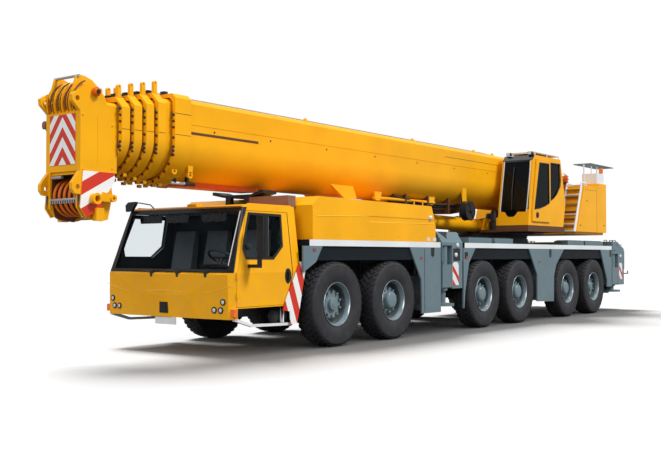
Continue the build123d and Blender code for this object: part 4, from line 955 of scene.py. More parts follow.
# ------------------------------------------------------------------ studio
@dataclass
class Studio:
    """Camera, lamps, floor and backdrop."""

    camera_place: Point = (16.696, 10.475, 1.469)
    yaw: float = 37.14
    pitch: float = 1.288
    lens: float = 50.79
    sun_strength: float = 2.8
    fill_strength: float = 0.9
    front_strength: float = 1.1
    floor_strength: float = 4.6
    sky_strength: float = 0.52
    floor_bounce: float = 0.2
    floor_shown: float = 0.6
    floor_half: float = 150.0

    def camera(self) -> None:
        """Camera at the front left of the crane, a little below eye level."""
        data = bpy.data.cameras.new("camera")
        data.lens = self.lens
        data.sensor_width = 36.0
        data.clip_end = 400.0
        eye = bpy.data.objects.new("camera", data)
        bpy.context.scene.collection.objects.link(eye)
        yaw, pitch = math.radians(self.yaw), math.radians(self.pitch)
        look = Vector((
            -math.cos(yaw) * math.cos(pitch), -math.sin(yaw) * math.cos(pitch), math.sin(pitch)))
        eye.location = self.camera_place
        eye.rotation_mode = "QUATERNION"
        eye.rotation_quaternion = look.to_track_quat("-Z", "Y")
        bpy.context.scene.camera = eye

    def sun(self, name: str, strength: float, softness: float, towards: Point) -> bpy.types.Object:
        """Add one far lamp.

        Args:
            name: Name of the lamp.
            strength: Its strength.
            softness: Angle of the lamp's disc, in degrees.
            towards: Direction in which its light travels.

        Returns:
            The lamp.
        """
        data = bpy.data.lights.new(name, "SUN")
        data.energy = strength
        data.angle = math.radians(softness)
        lamp = bpy.data.objects.new(name, data)
        lamp.rotation_mode = "QUATERNION"
        lamp.rotation_quaternion = Vector(towards).to_track_quat("-Z", "Y")
        bpy.context.scene.collection.objects.link(lamp)
        return lamp

    def lamps(self) -> dict[str, list[bpy.types.Object]]:
        """High soft sun from the crane's left, broad fills, and a lamp for the floor alone.

        Returns:
            The lamps by what the floor is to them: left out, or all that they light.
        """
        return {
            "EXCLUDE": [
                self.sun("sun", self.sun_strength, 16, (0.22, -0.70, -0.85)),
                self.sun("front_fill", self.front_strength, 40, (-0.85, -0.25, -0.45)),
                self.sun("back_fill", self.fill_strength, 50, (0.10, 0.45, -0.90)),
            ],
            "INCLUDE": [self.sun("floor_light", self.floor_strength, 26, (0.12, 0.46, -0.88))],
        }

    def sky(self) -> None:
        """Even light from all round, with a plain white backdrop where the camera sees it."""
        world = bpy.data.worlds.new("studio")
        bpy.context.scene.world = world
        world.use_nodes = True
        nodes, links = world.node_tree.nodes, world.node_tree.links
        glow, backdrop = nodes["Background"], nodes.new("ShaderNodeBackground")
        for node, strength in ((glow, self.sky_strength), (backdrop, 1.0)):
            node.inputs["Strength"].default_value = strength
            node.inputs["Color"].default_value = (1, 1, 1, 1)
        path = nodes.new("ShaderNodeLightPath")
        seen = nodes.new("ShaderNodeMath")
        seen.operation = "MAXIMUM"
        links.new(path.outputs["Is Camera Ray"], seen.inputs[0])
        links.new(path.outputs["Is Transmission Ray"], seen.inputs[1])
        mix = nodes.new("ShaderNodeMixShader")
        for source, target in zip((seen, glow, backdrop), mix.inputs):
            links.new(source.outputs[0], target)
        links.new(mix.outputs[0], nodes["World Output"].inputs["Surface"])

    def floor(self) -> bpy.types.Object:
        """Pale floor that holds the crane's shadow and fades into the backdrop.

        Returns:
            The floor.
        """
        half = self.floor_half
        corners = [(-half, -half, 0), (half, -half, 0), (half, half, 0), (-half, half, 0)]
        data = bpy.data.meshes.new("floor")
        data.from_pydata(corners, [], [(0, 1, 2, 3)])
        tree = NodeTree("floor_white")
        seen = tree.add("ShaderNodeLightPath").outputs["Is Camera Ray"]
        tree.set({
            "Base Color": tree.mix(seen, (self.floor_bounce,) * 3, (self.floor_shown,) * 3),
            "Roughness": 0.9,
            "Specular IOR Level": 0.0,
        })
        data.materials.append(tree.material)
        floor = bpy.data.objects.new("floor", data)
        bpy.context.scene.collection.objects.link(floor)
        return floor

    def share_light(
        self, floor: bpy.types.Object, lamps: dict[str, list[bpy.types.Object]]
    ) -> None:
        """Give the floor a lamp of its own, so that the crane's shadow falls to the near side.

        Args:
            floor: The floor.
            lamps: Lamps by the floor's state in what they light.
        """
        names = {"EXCLUDE": "all_but_floor", "INCLUDE": "floor_only"}
        for state, group_lamps in lamps.items():
            group = bpy.data.collections.new(names[state])
            group.objects.link(floor)
            group.collection_objects[0].light_linking.link_state = state
            for lamp in group_lamps:
                lamp.light_linking.receiver_collection = group

    def build(self) -> None:
        """Set up the studio."""
        bpy.context.scene.view_settings.view_transform = "Standard"
        lamps = self.lamps()
        self.sky()
        self.share_light(self.floor(), lamps)


def ahead(x: float) -> float:
    """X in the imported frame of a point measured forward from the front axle."""
    return FRONT_AXLE.x + x


def at(x: float, y: float, z: float) -> Point:
    """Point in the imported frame, with its X measured forward from the front axle."""
    return ahead(x), y, z


def dress_all() -> None:
    """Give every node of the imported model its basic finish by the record's slot."""
    finish_of = {
        "boom_yellow": BOOM_YELLOW, "carrier_grey": CARRIER_GREY, "frame_grey": FRAME_GREY,
        "deck_white": RAIL_WHITE, "tyre": TYRE_RUBBER, "glass": CAB_GLASS,
        "interior": INTERIOR_GREY, "engine_block": ENGINE_DARK, "rod_chrome": ROD_STEEL,
        "winch_steel": WINCH_STEEL}
    for part in frame["record"]["subparts"]:
        dress(part["node"], finish_of[part["material_slot"]])


def band(
    shape: Shape, outline: Sequence[Pair], width: float, wall: Callable[[float], float],
    thick: float, finish: Finish
) -> None:
    """Flat frame that follows the inside of an outline on a side wall.

    Args:
        shape: Piece that takes the frame.
        outline: Outer corners as (x, z).
        width: Width of the frame.
        wall: Y of the wall's surface at a height.
        thick: Thickness outwards.
        finish: Finish of the frame.
    """
    middle = Vector((
        sum(p[0] for p in outline) / len(outline), sum(p[1] for p in outline) / len(outline)))
    inner = []
    count = len(outline)
    for i, corner in enumerate(outline):
        here = Vector(corner)
        before = (here - Vector(outline[i - 1])).normalized()
        after = (Vector(outline[(i + 1) % count]) - here).normalized()
        normal = Vector((-(before + after).y, (before + after).x)).normalized()
        if normal.dot(middle - here) < 0:
            normal = -normal
        share = max(0.5, abs(normal.dot(Vector((-after.y, after.x)))))
        inner.append(here + normal * (width / share))
    rings = []
    for ring, depth in ((outline, 0.0), (outline, thick), (inner, thick), (inner, 0.0)):
        rings.append([Vector((p[0], wall(p[1]) + depth, p[1])) for p in ring])
    shape.loops(rings, finish, caps=False, closed=True)


@dataclass
class CarrierBody:
    """Walkways, side panels, outriggers and chassis.

    Attributes:
        half: Half width of the side panels.
        deck_top: Z of the walkways.
        fascia_top: Z of the upper edge of the walkways' dark fascia.
        markers: Side marker lamps, as X from the front axle and Z.
        hood_lean: How far the outrigger hoods lean in for a metre of height.
        slots: Slots in the panels, as X from the front axle and Z of the slot's foot.
    """

    half: float = 1.45
    deck_top: float = 1.72
    fascia_top: float = 1.62
    markers: tuple[Pair, ...] = ((0.578, 1.561), (-2.61, 1.43), (-4.31, 1.43), (-7.71, 1.33))
    hood_lean: float = 137 / 210
    slots: tuple[Pair, ...] = ((-3.01, 1.44), (-8.31, 1.42), (-12.14, 1.42))

    def dress(self) -> None:
        """Finishes of the carrier's nodes."""
        dress("deck", RAIL_WHITE, FASCIA_DARK, BLACK_PLASTIC, BROWN_CASE, choose=self._deck_finish)
        dress("side_panels", CARRIER_GREY, FLAP_STRIPES, FRAME_GREY, choose=self._panel_finish)
        dress("outrigger_boxes", CARRIER_GREY, BLACK_PLASTIC, choose=self._box_finish)

    def _box_finish(self, centre: Vector, normal: Vector) -> Finish:
        """Grey boxes, black at the tail."""
        return BLACK_PLASTIC if centre.x < ahead(-13.16) else CARRIER_GREY

    def _deck_finish(self, centre: Vector, normal: Vector) -> Finish:
        """White edge rail, dark fascia and walkway, black boom rest with brown pads.

        Args:
            centre: Centre of the face.
            normal: Direction that it faces.

        Returns:
            The face's finish.
        """
        if centre.z > self.deck_top + 0.02:
            on_rest = abs(centre.y) > 0.28 and centre.x > ahead(0.63)
            return BROWN_CASE if on_rest and 2.0 < centre.z < 2.42 else BLACK_PLASTIC
        on_edge = abs(normal.y) > 0.5 and abs(centre.y) > self.half - 0.01
        return RAIL_WHITE if on_edge and centre.z > self.fascia_top + 0.001 else FASCIA_DARK

    def _panel_finish(self, centre: Vector, normal: Vector) -> Finish:
        """Grey sheets, striped flaps and dark inner boxes.

        Args:
            centre: Centre of the face.
            normal: Direction that it faces; not used.

        Returns:
            The face's finish.
        """
        inside = abs(centre.y) < 1.41
        on_flap = abs(centre.y) > 1.385 and centre.x > ahead(0.70) and centre.z < 1.371
        if inside and on_flap:
            return FLAP_STRIPES
        return FRAME_GREY if inside else CARRIER_GREY

    def fittings(self) -> None:
        """Lamps, slots, guide strips and warning shields on the carrier."""
        shape = Shape("carrier_fittings")
        face = self.half
        for x, z in self.markers:
            mid = ahead(x)
            shape.box(
                (mid - 0.035, face, z - 0.02), (mid + 0.035, face + 0.012, z + 0.02), MARKER_RED)
        for x, low in self.slots:
            mid = ahead(x)
            shape.prism(
                [
                    (mid - 0.06, 1.615), (mid + 0.06, 1.615), (mid + 0.05, low + 0.03), (mid, low),
                    (mid - 0.05, low + 0.03)],
                "Y", face + 0.001, face + 0.006, BLACK_TRIM)
        for x in (-3.358, -4.142):
            mid = ahead(x)
            shape.box((mid - 0.006, face, 0.84), (mid + 0.006, face + 0.006, 1.36), FRAME_GREY)
        shape.box(at(-4.048, face + 0.0005, 1.366), at(-3.783, face + 0.004, 1.605), BLACK_TRIM)
        shape.box(at(-4.366, face + 0.0005, 1.408), at(-4.236, face + 0.004, 1.535), BLACK_TRIM)
        for x, z in ((-3.87, 1.478), (-3.937, 1.667), (-12.85, 1.45)):
            shape.turn(
                [(0.045, 0), (0.045, 0.02), (0.03, 0.035), (0, 0.04)], at(x, face, z), LEFTWARD,
                CLEAR_LENS, 16)
        for x in (-2.86, -3.08):
            shape.box(
                at(x - 0.055, face - 0.05, 1.735), at(x + 0.055, face + 0.004, 1.800), CLEAR_LENS)
        shape.box(at(-13.20, face - 0.12, 1.10), at(-13.15, face - 0.005, 1.60), BLACK_TRIM)
        for z in (1.16, 1.28, 1.40, 1.52):
            shape.box(
                at(-13.215, face - 0.11, z - 0.045), at(-13.20, face - 0.02, z + 0.045), RED_LENS)
        shape.button(at(-12.42, face, 1.60), LEFTWARD, 0.022, 0.012, 0.018, FRAME_GREY)
        shape.box(at(-2.726, face + 0.0005, 0.43), at(-2.714, face + 0.004, 1.60), FRAME_GREY)
        for x in (-12.30, -12.62, -12.94):
            shape.button(at(x, face, 1.76), LEFTWARD, 0.016, 0.008, 0.012, FRAME_GREY)
        shape.mirrored()
        for middle, shift, rise in ((-3.75, 0.0, 0.0), (-12.715, -9.015, -0.07)):
            for side in Side:
                self._sleeve(shape, side, middle, shift, rise)
        shape.place("carrier", bevel=0.003)

    def _sleeve(self, shape: Shape, side: Side, middle: float, shift: float, rise: float) -> None:
        """White shield with red bands beside an outrigger beam's opening.

        Args:
            shape: Piece that takes the shield.
            side: Side of the crane; the right one is the left one turned half round.
            middle: X of the middle of the outrigger box.
            shift: X of the shield from the front one's.
            rise: Z of the shield from the front one's.
        """
        low, high, foot, shoulder, radius = -3.985, -3.748, 0.89, 1.26, 0.08
        outline = [(high, foot), (high, shoulder)]
        outline += [
            (high - radius + radius * math.cos(t), shoulder + radius * math.sin(t))
            for t in (0.4, 0.8, 1.2, 1.57)]
        outline += [
            (low + radius + radius * math.cos(t), shoulder + radius * math.sin(t))
            for t in (1.57, 1.9, 2.3, 2.7)]
        outline += [(low, shoulder), (low, foot)]
        upper = [
            (-3.751, 1.290), (-3.85, 1.20), (-3.982, 1.060), (-3.982, 0.935), (-3.86, 1.08),
            (-3.751, 1.170)]
        lower = [(-3.751, 1.010), (-3.81, 0.955), (-3.870, 0.892), (-3.751, 0.892)]
        for points, lift, finish in (
            (outline, 0.0, RAIL_WHITE), (upper, 0.006, STRIPE_RED), (lower, 0.006, STRIPE_RED)
        ):
            places = [
                (ahead(x + shift if side is Side.LEFT else 2 * middle - x - shift), z + rise)
                for x, z in points]
            shape.prism(
                places, "Y", side.value * (self.half + 0.0005 + lift),
                side.value * (self.half + 0.006 + lift / 4), finish)

    def deck_gear(self) -> None:
        """Boxes, grab rails and treads on the walkways."""
        shape = Shape("deck_gear")
        top = self.deck_top
        for low, high in ((-4.6, -5.6), (-5.75, -6.6), (-9.6, -10.6), (-10.7, -11.9)):
            shape.box(at(high, 0.98, top), at(low, 1.34, top + 0.11), CARRIER_GREY)
            shape.box(
                at(high + 0.04, 1.02, top + 0.11), at(low - 0.04, 1.30, top + 0.125), FRAME_GREY)
        for x in (-12.35, -12.75, -13.0):
            shape.tube(
                [
                    at(x, 1.2, top + 0.02), at(x, 1.2, top + 0.16), at(x - 0.2, 1.2, top + 0.16),
                    at(x - 0.2, 1.2, top + 0.02)],
                0.011, FRAME_GREY, 8)
        for k in range(15):
            x = ahead(0.55 - 0.065 * k)
            shape.box((x - 0.012, 1.19, top), (x + 0.012, 1.43, top + 0.006), FRAME_GREY)
        shape.mirrored()
        shape.place("carrier", bevel=0.004)

    def hood_notch(self) -> None:
        """Dark V-shaped step plate on the slope of each front outrigger box."""
        shape = Shape("outrigger_hood_plates")
        lean = self.hood_lean
        rings = []
        for lift in (0.0006, 0.0040):
            rings.append([
                Vector((ahead(x), self.half - lean * (z - self.deck_top) + lift, z + lift * lean))
                for x, z in (
                    (-3.42, 1.926), (-3.76, 1.926), (-3.66, 1.85), (-3.605, 1.785), (-3.53, 1.85))])
        shape.loops(rings, BLACK_TRIM)
        shape.mirrored()
        shape.place("carrier")

    def build(self) -> None:
        """Dress the carrier and add its fittings."""
        self.dress()
        self.fittings()
        self.deck_gear()
        self.hood_notch()


@dataclass
class DriverCab:
    """Driver's cab: glass surround, doors' seals, lamps, wipers and roof trim.

    Attributes:
        half: Half width at the foot of the windscreen.
        tumble: How far each side leans in for a metre of height.
        corner: Radius of the cab's front corners.
        base: X from the front axle, and Z, of the windscreen's foot.
        top: The same for the windscreen's head.
        roof: Z of the roof.
        nose: X from the front axle, and Z, of the nose's lower edge.
        facet_y: Y where the slanted facets of the nose begin.
        hinge_x: X of the door's hinges, from the front axle.
        window: Corners of a door's window, as X from the front axle and Z.
        lamps: (Y, Z) of the headlamps on one side.
    """

    half: float = 1.375
    tumble: float = 0.13
    corner: float = 0.06
    base: Pair = (2.310, 1.215)
    top: Pair = (1.990, 2.185)
    roof: float = 2.225
    nose: Pair = (2.410, 0.880)
    facet_y: float = 0.467
    hinge_x: float = 2.265
    window: tuple[Pair, ...] = (
        (1.905, 2.080), (2.045, 1.700), (2.085, 1.570), (2.040, 1.430), (1.455, 1.430),
        (1.225, 1.610), (1.190, 2.080))
    lamps: tuple[Pair, ...] = ((1.195, 0.800), (1.030, 0.683), (1.150, 0.682))

    def dress(self) -> None:
        """Finishes of the cab's nodes."""
        dress(
            "driver_cab", BOOM_YELLOW, CAB_TRIM, RAIL_WHITE, AMBER_LENS, BLACK_PLASTIC, CLEAR_LENS,
            choose=self._cab_finish)
        for side in Side:
            dress(f"{side.label}_door", BOOM_YELLOW, CAB_TRIM, BLACK_TRIM, choose=self._door_finish)
            dress(f"{side.label}_door_glass", CAB_GLASS)
        dress("cab_glass", CAB_GLASS)
        dress("cab_interior", SEAT_GREY, BLACK_PLASTIC, choose=self._inside_finish)

    def _inside_finish(self, centre: Vector, normal: Vector) -> Finish:
        """Grey seats and a black dashboard."""
        return BLACK_PLASTIC if centre.x > ahead(1.82) else SEAT_GREY

    def side_y(self, z: float) -> float:
        """Half width of the cab at a height."""
        return self.half - self.tumble * max(0.0, z - self.base[1])

    def screen_x(self, z: float) -> float:
        """X of the windscreen's plane at a height, from the front axle."""
        rise = (z - self.base[1]) / (self.top[1] - self.base[1])
        return self.base[0] - (self.base[0] - self.top[0]) * rise

    def facet_x(self, y: float, z: float) -> float:
        """X of the slanted facet at a lower corner of the nose, from the front axle."""
        return self.nose[0] - 0.06 * (y - self.facet_y) + 0.02 * (z - self.nose[1])

    def _cab_finish(self, centre: Vector, normal: Vector) -> Finish:
        """Yellow outside, grey inside, white steps, black recesses and lenses.

        Args:
            centre: Centre of the face.
            normal: Direction that it faces.

        Returns:
            The face's finish.
        """
        x, y, z = centre.x - FRONT_AXLE.x, abs(centre.y), centre.z
        skin, screen = self.side_y(z), self.screen_x(z)
        if z < 0.565 and y > 1.295 and x < 2.29:
            return RAIL_WHITE
        past_corner = 0.684 * (x - self.hinge_x) + 0.729 * (y - self.half)
        if 0.585 < z < 0.705 and x > 2.262 and past_corner > 0.002:
            return AMBER_LENS
        if x > 2.3 and y > 0.95 and any(math.hypot(y - a, z - b) < 0.05 for a, b in self.lamps):
            return CLEAR_LENS if x > self.facet_x(y, z) + 0.002 else BOOM_YELLOW
        step_recess = z < 0.708 and x < 2.254 and 0.99 < y < self.half - 0.001
        screen_reveal = 1.25 < z < 2.14 and y < 1.25 and screen - 0.06 < x < screen - 0.003
        if step_recess or screen_reveal:
            return BLACK_PLASTIC
        if 0.95 < x < 2.26 and 0.75 < z < 2.16 and y > skin - 0.058 and abs(normal.y) < 0.5:
            return CAB_TRIM
        outward = normal.y * (1 if centre.y > 0 else -1)
        behind_screen = 0.86 < x < min(2.295, screen - 0.02)
        inside = behind_screen and y < skin - 0.05 and 0.76 <= z <= 2.17
        return CAB_TRIM if inside and (outward < 0.1 or y < skin - 0.058) else BOOM_YELLOW

    def _door_finish(self, centre: Vector, normal: Vector) -> Finish:
        """Yellow outside, grey inside, black handle and mirror.

        Args:
            centre: Centre of the face.
            normal: Direction that it faces.

        Returns:
            The face's finish.
        """
        x, y, side = centre.x - FRONT_AXLE.x, abs(centre.y), self.side_y(centre.z)
        if y > side + 0.001:
            return BLACK_TRIM if x < 1.3 or centre.z > 1.25 else BOOM_YELLOW
        if 1.18 < x < 2.10 and 1.425 < centre.z < 2.09 and y < side - 0.001 and abs(normal.y) < 0.8:
            return BLACK_TRIM
        return CAB_TRIM if y < side - 0.055 else BOOM_YELLOW

    def _skin(self, angle: float, height: float, lift: float) -> Vector:
        """Point on the left corner's skin.

        Args:
            angle: 0 faces forward, 90 degrees faces left.
            height: Z of the point.
            lift: Distance off the skin.

        Returns:
            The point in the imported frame.
        """
        r = self.corner + lift
        return Vector((ahead(self.screen_x(height) - self.corner + r * math.cos(angle)),
                       self.side_y(height) - self.corner + r * math.sin(angle), height))

    def _on_screen(self, y: float, z: float, lift: float) -> Point:
        """Point a little off the windscreen."""
        return ahead(self.screen_x(z) + lift), y, z

    def surround(self) -> None:
        """Black band round the windscreen that reaches round the corners near the roof."""
        shape = Shape("windscreen_surround")
        low, high = self.base[1] + 0.004, self.top[1] - 0.004
        levels = [low + k * (high - low) / 14 for k in range(15)]
        rings = []
        for z in levels:
            reach = 12 + 78 * ((z - low) / (high - low)) ** 2
            outer, inner = [], []
            for lift, row in ((0.005, outer), (0.001, inner)):
                row.append(Vector(self._on_screen(1.233 - 0.081 * (z - 1.262), z, lift)))
                row.extend(self._skin(math.radians(reach * k / 5), z, lift) for k in range(6))
            rings.append(outer + list(reversed(inner)))
        shape.loops(rings, BLACK_TRIM)
        shape.mirrored()
        for below, above, y in ((low, 1.268, 1.236), (2.119, high, 1.17)):
            profile = [
                (self._on_screen(0, z, lift)[0], z)
                for z, lift in ((below, 0.001), (below, 0.005), (above, 0.005), (above, 0.001))]
            shape.prism(profile, "Y", -y, y, BLACK_TRIM)
        shape.place("carrier", smooth=30)
        strips = Shape("corner_strips")
        strips.tube(
            [self._on_screen(1.216 - 0.012 * k / 8, 1.32 + 0.1 * k, 0.008) for k in range(9)],
            0.009, PALE_STEEL, 8)
        strips.place("carrier")

    def wipers(self) -> None:
        """Three wipers parked along the foot of the windscreen."""
        shape = Shape("wipers")
        for y in (-0.30, 0.26, 0.85):
            shape.prism(
                [(y - 0.03, 1.240), (y + 0.03, 1.240), (y + 0.018, 1.150), (y - 0.018, 1.150)], "X",
                ahead(2.335), ahead(2.385), BLACK_PLASTIC)
            shape.tube([self._on_screen(y, 1.19, 0.050), self._on_screen(y - 0.10, 1.232, 0.030),
                        self._on_screen(y - 0.34, 1.240, 0.022)], 0.008, BLACK_PLASTIC, 8)
            shape.tube(
                [self._on_screen(y - 0.02, 1.236, 0.016), self._on_screen(y - 0.54, 1.246, 0.016)],
                0.008, BLACK_PLASTIC, 6)
        shape.place("carrier")

    def lights(self) -> None:
        """Headlamps, creases of the nose drawn as painted highlight lines, towing coupling and
        blank number plate.
        """
        shape = Shape("cab_lights")
        for y, z in self.lamps:
            x = ahead(self.facet_x(y, z))
            shape.turn(
                [(0.048, 0.0), (0.048, 0.014), (0.032, 0.018), (0.030, 0.012)], (x, y, z),
                (1, 0.06, 0), BLACK_TRIM, 24)
            shape.turn(
                [(0.030, 0.011), (0.020, 0.016), (0, 0.018)], (x, y, z), (1, 0.06, 0), CLEAR_LENS,
                24)
        shape.mirrored()
        # Each crease is a thin pale yellow tube: a painted highlight along the crease.
        for side in Side:
            crease = [(1.34, 1.035), (0.98, 0.940), (0.0, 0.935)]
            shape.tube(
                [
                    (ahead(self.facet_x(max(y, self.facet_y), z) + 0.001), side.value * y, z)
                    for y, z in crease],
                0.005, CREASE_HIGHLIGHT_YELLOW, 6)
        front = ahead(2.397)
        shape.box((front - 0.010, -0.09, 0.61), (front + 0.008, 0.09, 0.775), BLACK_TRIM)
        shape.box((front, -0.055, 0.64), (front + 0.013, 0.055, 0.745), DARK_STEEL)
        shape.box(at(2.362, -0.215, 0.438), at(2.374, 0.235, 0.545), RAIL_WHITE)
        shape.box(at(2.30, -0.06, 0.50), at(2.363, 0.06, 0.60), DARK_STEEL)
        shape.place("carrier", bevel=0.003)

    def roof_trim(self) -> None:
        """Roof hatch, gutter rails and the corner mirror at the right."""
        shape = Shape("cab_roof_trim")
        shape.box(at(1.80, 0.0, self.roof - 0.004), at(1.92, 0.20, self.roof + 0.035), BOOM_YELLOW)
        for side in Side:
            y = side.value * (self.side_y(self.roof) - 0.05)
            shape.box(
                at(0.86, y - 0.012, self.roof), at(1.86, y + 0.012, self.roof + 0.018), BOOM_YELLOW)
        edge = self.side_y(self.top[1]) - 0.06
        shape.prism(
            [
                (ahead(self.top[0]) - 0.012, self.top[1]),
                (ahead(self.top[0]) + 0.006, self.top[1]),
                (ahead(self.top[0]) - 0.020, self.top[1] + 0.018)],
            "Y", -edge, edge, SHADE_BROWN)
        shape.tube(
            [at(1.93, -0.74, 2.215), at(1.97, -0.78, 2.275), at(2.05, -1.04, 2.320)], 0.010,
            BLACK_PLASTIC, 8)
        shape.prism(
            [
                (-1.255, 2.172), (-1.12, 2.180), (-1.015, 2.300), (-1.03, 2.330), (-1.20, 2.325),
                (-1.265, 2.28)],
            "X", ahead(2.02), ahead(2.07), BLACK_TRIM)
        shape.place("carrier", bevel=0.004)

    def door(self, side: Side) -> None:
        """Window seal and handle recess of one door, with the mirror glass on the left door.

        Args:
            side: Side of the door.
        """
        shape = Shape(f"{side.label}_door_trim")
        outline = [Vector((ahead(x), z)) for x, z in self.window]
        middle = sum(outline, Vector((0, 0))) / len(outline)
        grown = [tuple(p + 0.028 * (p - middle).normalized()) for p in outline]
        band(shape, grown, 0.040, lambda z: self.side_y(z) + 0.0008, 0.006, BLACK_TRIM)
        centre = (ahead(1.133), 1.160)
        ring = [
            (centre[0] + 0.072 * math.cos(t), centre[1] + 0.115 * math.sin(t))
            for t in (math.tau * k / 24 for k in range(24))]
        shape.prism(ring, "Y", self.half - 0.012, self.half + 0.008, BLACK_PLASTIC)
        shape.box(at(1.118, self.half + 0.008, 1.09), at(1.15, self.half + 0.030, 1.23), BLACK_TRIM)
        if side is Side.LEFT:
            shape.box(at(1.9465, 1.56, 1.46), at(1.9505, 1.69, 2.02), PALE_STEEL)
            shape.turn(
                [(0.045, 0), (0.045, 0.03), (0.03, 0.04), (0, 0.04)],
                (ahead(2.005), self.side_y(1.595) - 0.006, 1.595), LEFTWARD, BLACK_PLASTIC, 16)
        else:
            shape.points = [Vector((p.x, -p.y, p.z)) for p in shape.points]
            shape.faces = [tuple(reversed(face)) for face in shape.faces]
        shape.place(f"{side.label}_door", bevel=0.002)

    def inside(self) -> None:
        """Headlining, sun visors and instrument hood seen through the glass."""
        shape = Shape("cab_inside_trim")
        shape.box(at(0.95, -1.17, 2.135), at(1.86, 1.17, 2.158), SEAT_GREY)
        shape.prism(
            [(ahead(2.03), 1.250), (ahead(2.08), 1.250), (ahead(2.12), 1.30), (ahead(2.00), 1.34)],
            "Y", 0.45, 1.0, BLACK_PLASTIC)
        for y in (-0.85, -0.25, 0.55):
            shape.prism(
                [(y - 0.27, 2.11), (y + 0.27, 2.11), (y + 0.24, 1.98), (y - 0.24, 1.98)], "X",
                ahead(1.88), ahead(1.895), BLACK_TRIM)
        shape.place("carrier")

    def step_recess(self) -> None:
        """Air tank and treads in the step recess under each door."""
        shape = Shape("step_fittings")
        shape.rod(at(1.02, 1.16, 0.54), at(1.24, 1.16, 0.54), 0.10, FRAME_GREY, 20)
        for k in range(8):
            x = ahead(1.10 + 0.095 * k)
            shape.box((x, 1.305, 0.452), (x + 0.05, 1.355, 0.458), DARK_STEEL)
        shape.mirrored()
        shape.place("carrier", bevel=0.003)

    def build(self) -> None:
        """Dress the cab and add its trim."""
        self.dress()
        self.surround()
        self.wipers()
        self.lights()
        self.roof_trim()
        self.inside()
        self.step_recess()
        for side in Side:
            self.door(side)


@dataclass
class EngineCover:
    """Housing behind the cab: crease, catches, work lamp, grab rails and grilles."""

    half: float = 1.45
    top: float = 2.41

    def build(self) -> None:
        """Add the cover's crease, fittings and grilles."""
        shape = Shape("engine_cover_fittings")
        # The crease is a thin pale yellow tube: a painted highlight along it.
        crease = [(0.50, 2.095), (-0.672, 2.126), (-0.895, 2.039), (-3.05, 2.055)]
        shape.tube(
            [(ahead(x), self.half - (0.0 if z > 2.06 else 0.006), z) for x, z in crease], 0.006,
            CREASE_HIGHLIGHT_YELLOW, 6)
        for x in (-0.05, -1.0, -1.85, -2.6):
            shape.box(
                at(x - 0.05, self.half, 1.80), at(x + 0.05, self.half + 0.003, 1.825), BOOM_YELLOW)
        shape.turn(
            [(0.045, 0), (0.045, 0.03), (0.03, 0.045), (0, 0.05)],
            at(-2.93, self.half - 0.01, 2.17), LEFTWARD, CLEAR_LENS, 16)
        shape.tube(
            [
                at(-2.9, 1.30, self.top - 0.02), at(-2.9, 1.30, self.top + 0.08),
                at(-2.6, 1.30, self.top + 0.08), at(-2.6, 1.30, self.top - 0.02)],
            0.012, BOOM_YELLOW, 8)
        shape.mirrored()
        for k in range(16):
            x = ahead(-0.10 - 0.07 * k)
            shape.box(
                (x - 0.045, -0.55, self.top - 0.005), (x + 0.01, 0.55, self.top + 0.012),
                BLACK_PLASTIC)
        shape.place("carrier", bevel=0.002)
        grille = Shape("cooler_grille")
        for k in range(14):
            z = 1.78 + 0.033 * k
            grille.box(at(0.620, -0.75, z), at(0.632, 0.75, z + 0.018), BLACK_PLASTIC)
        grille.place("carrier")


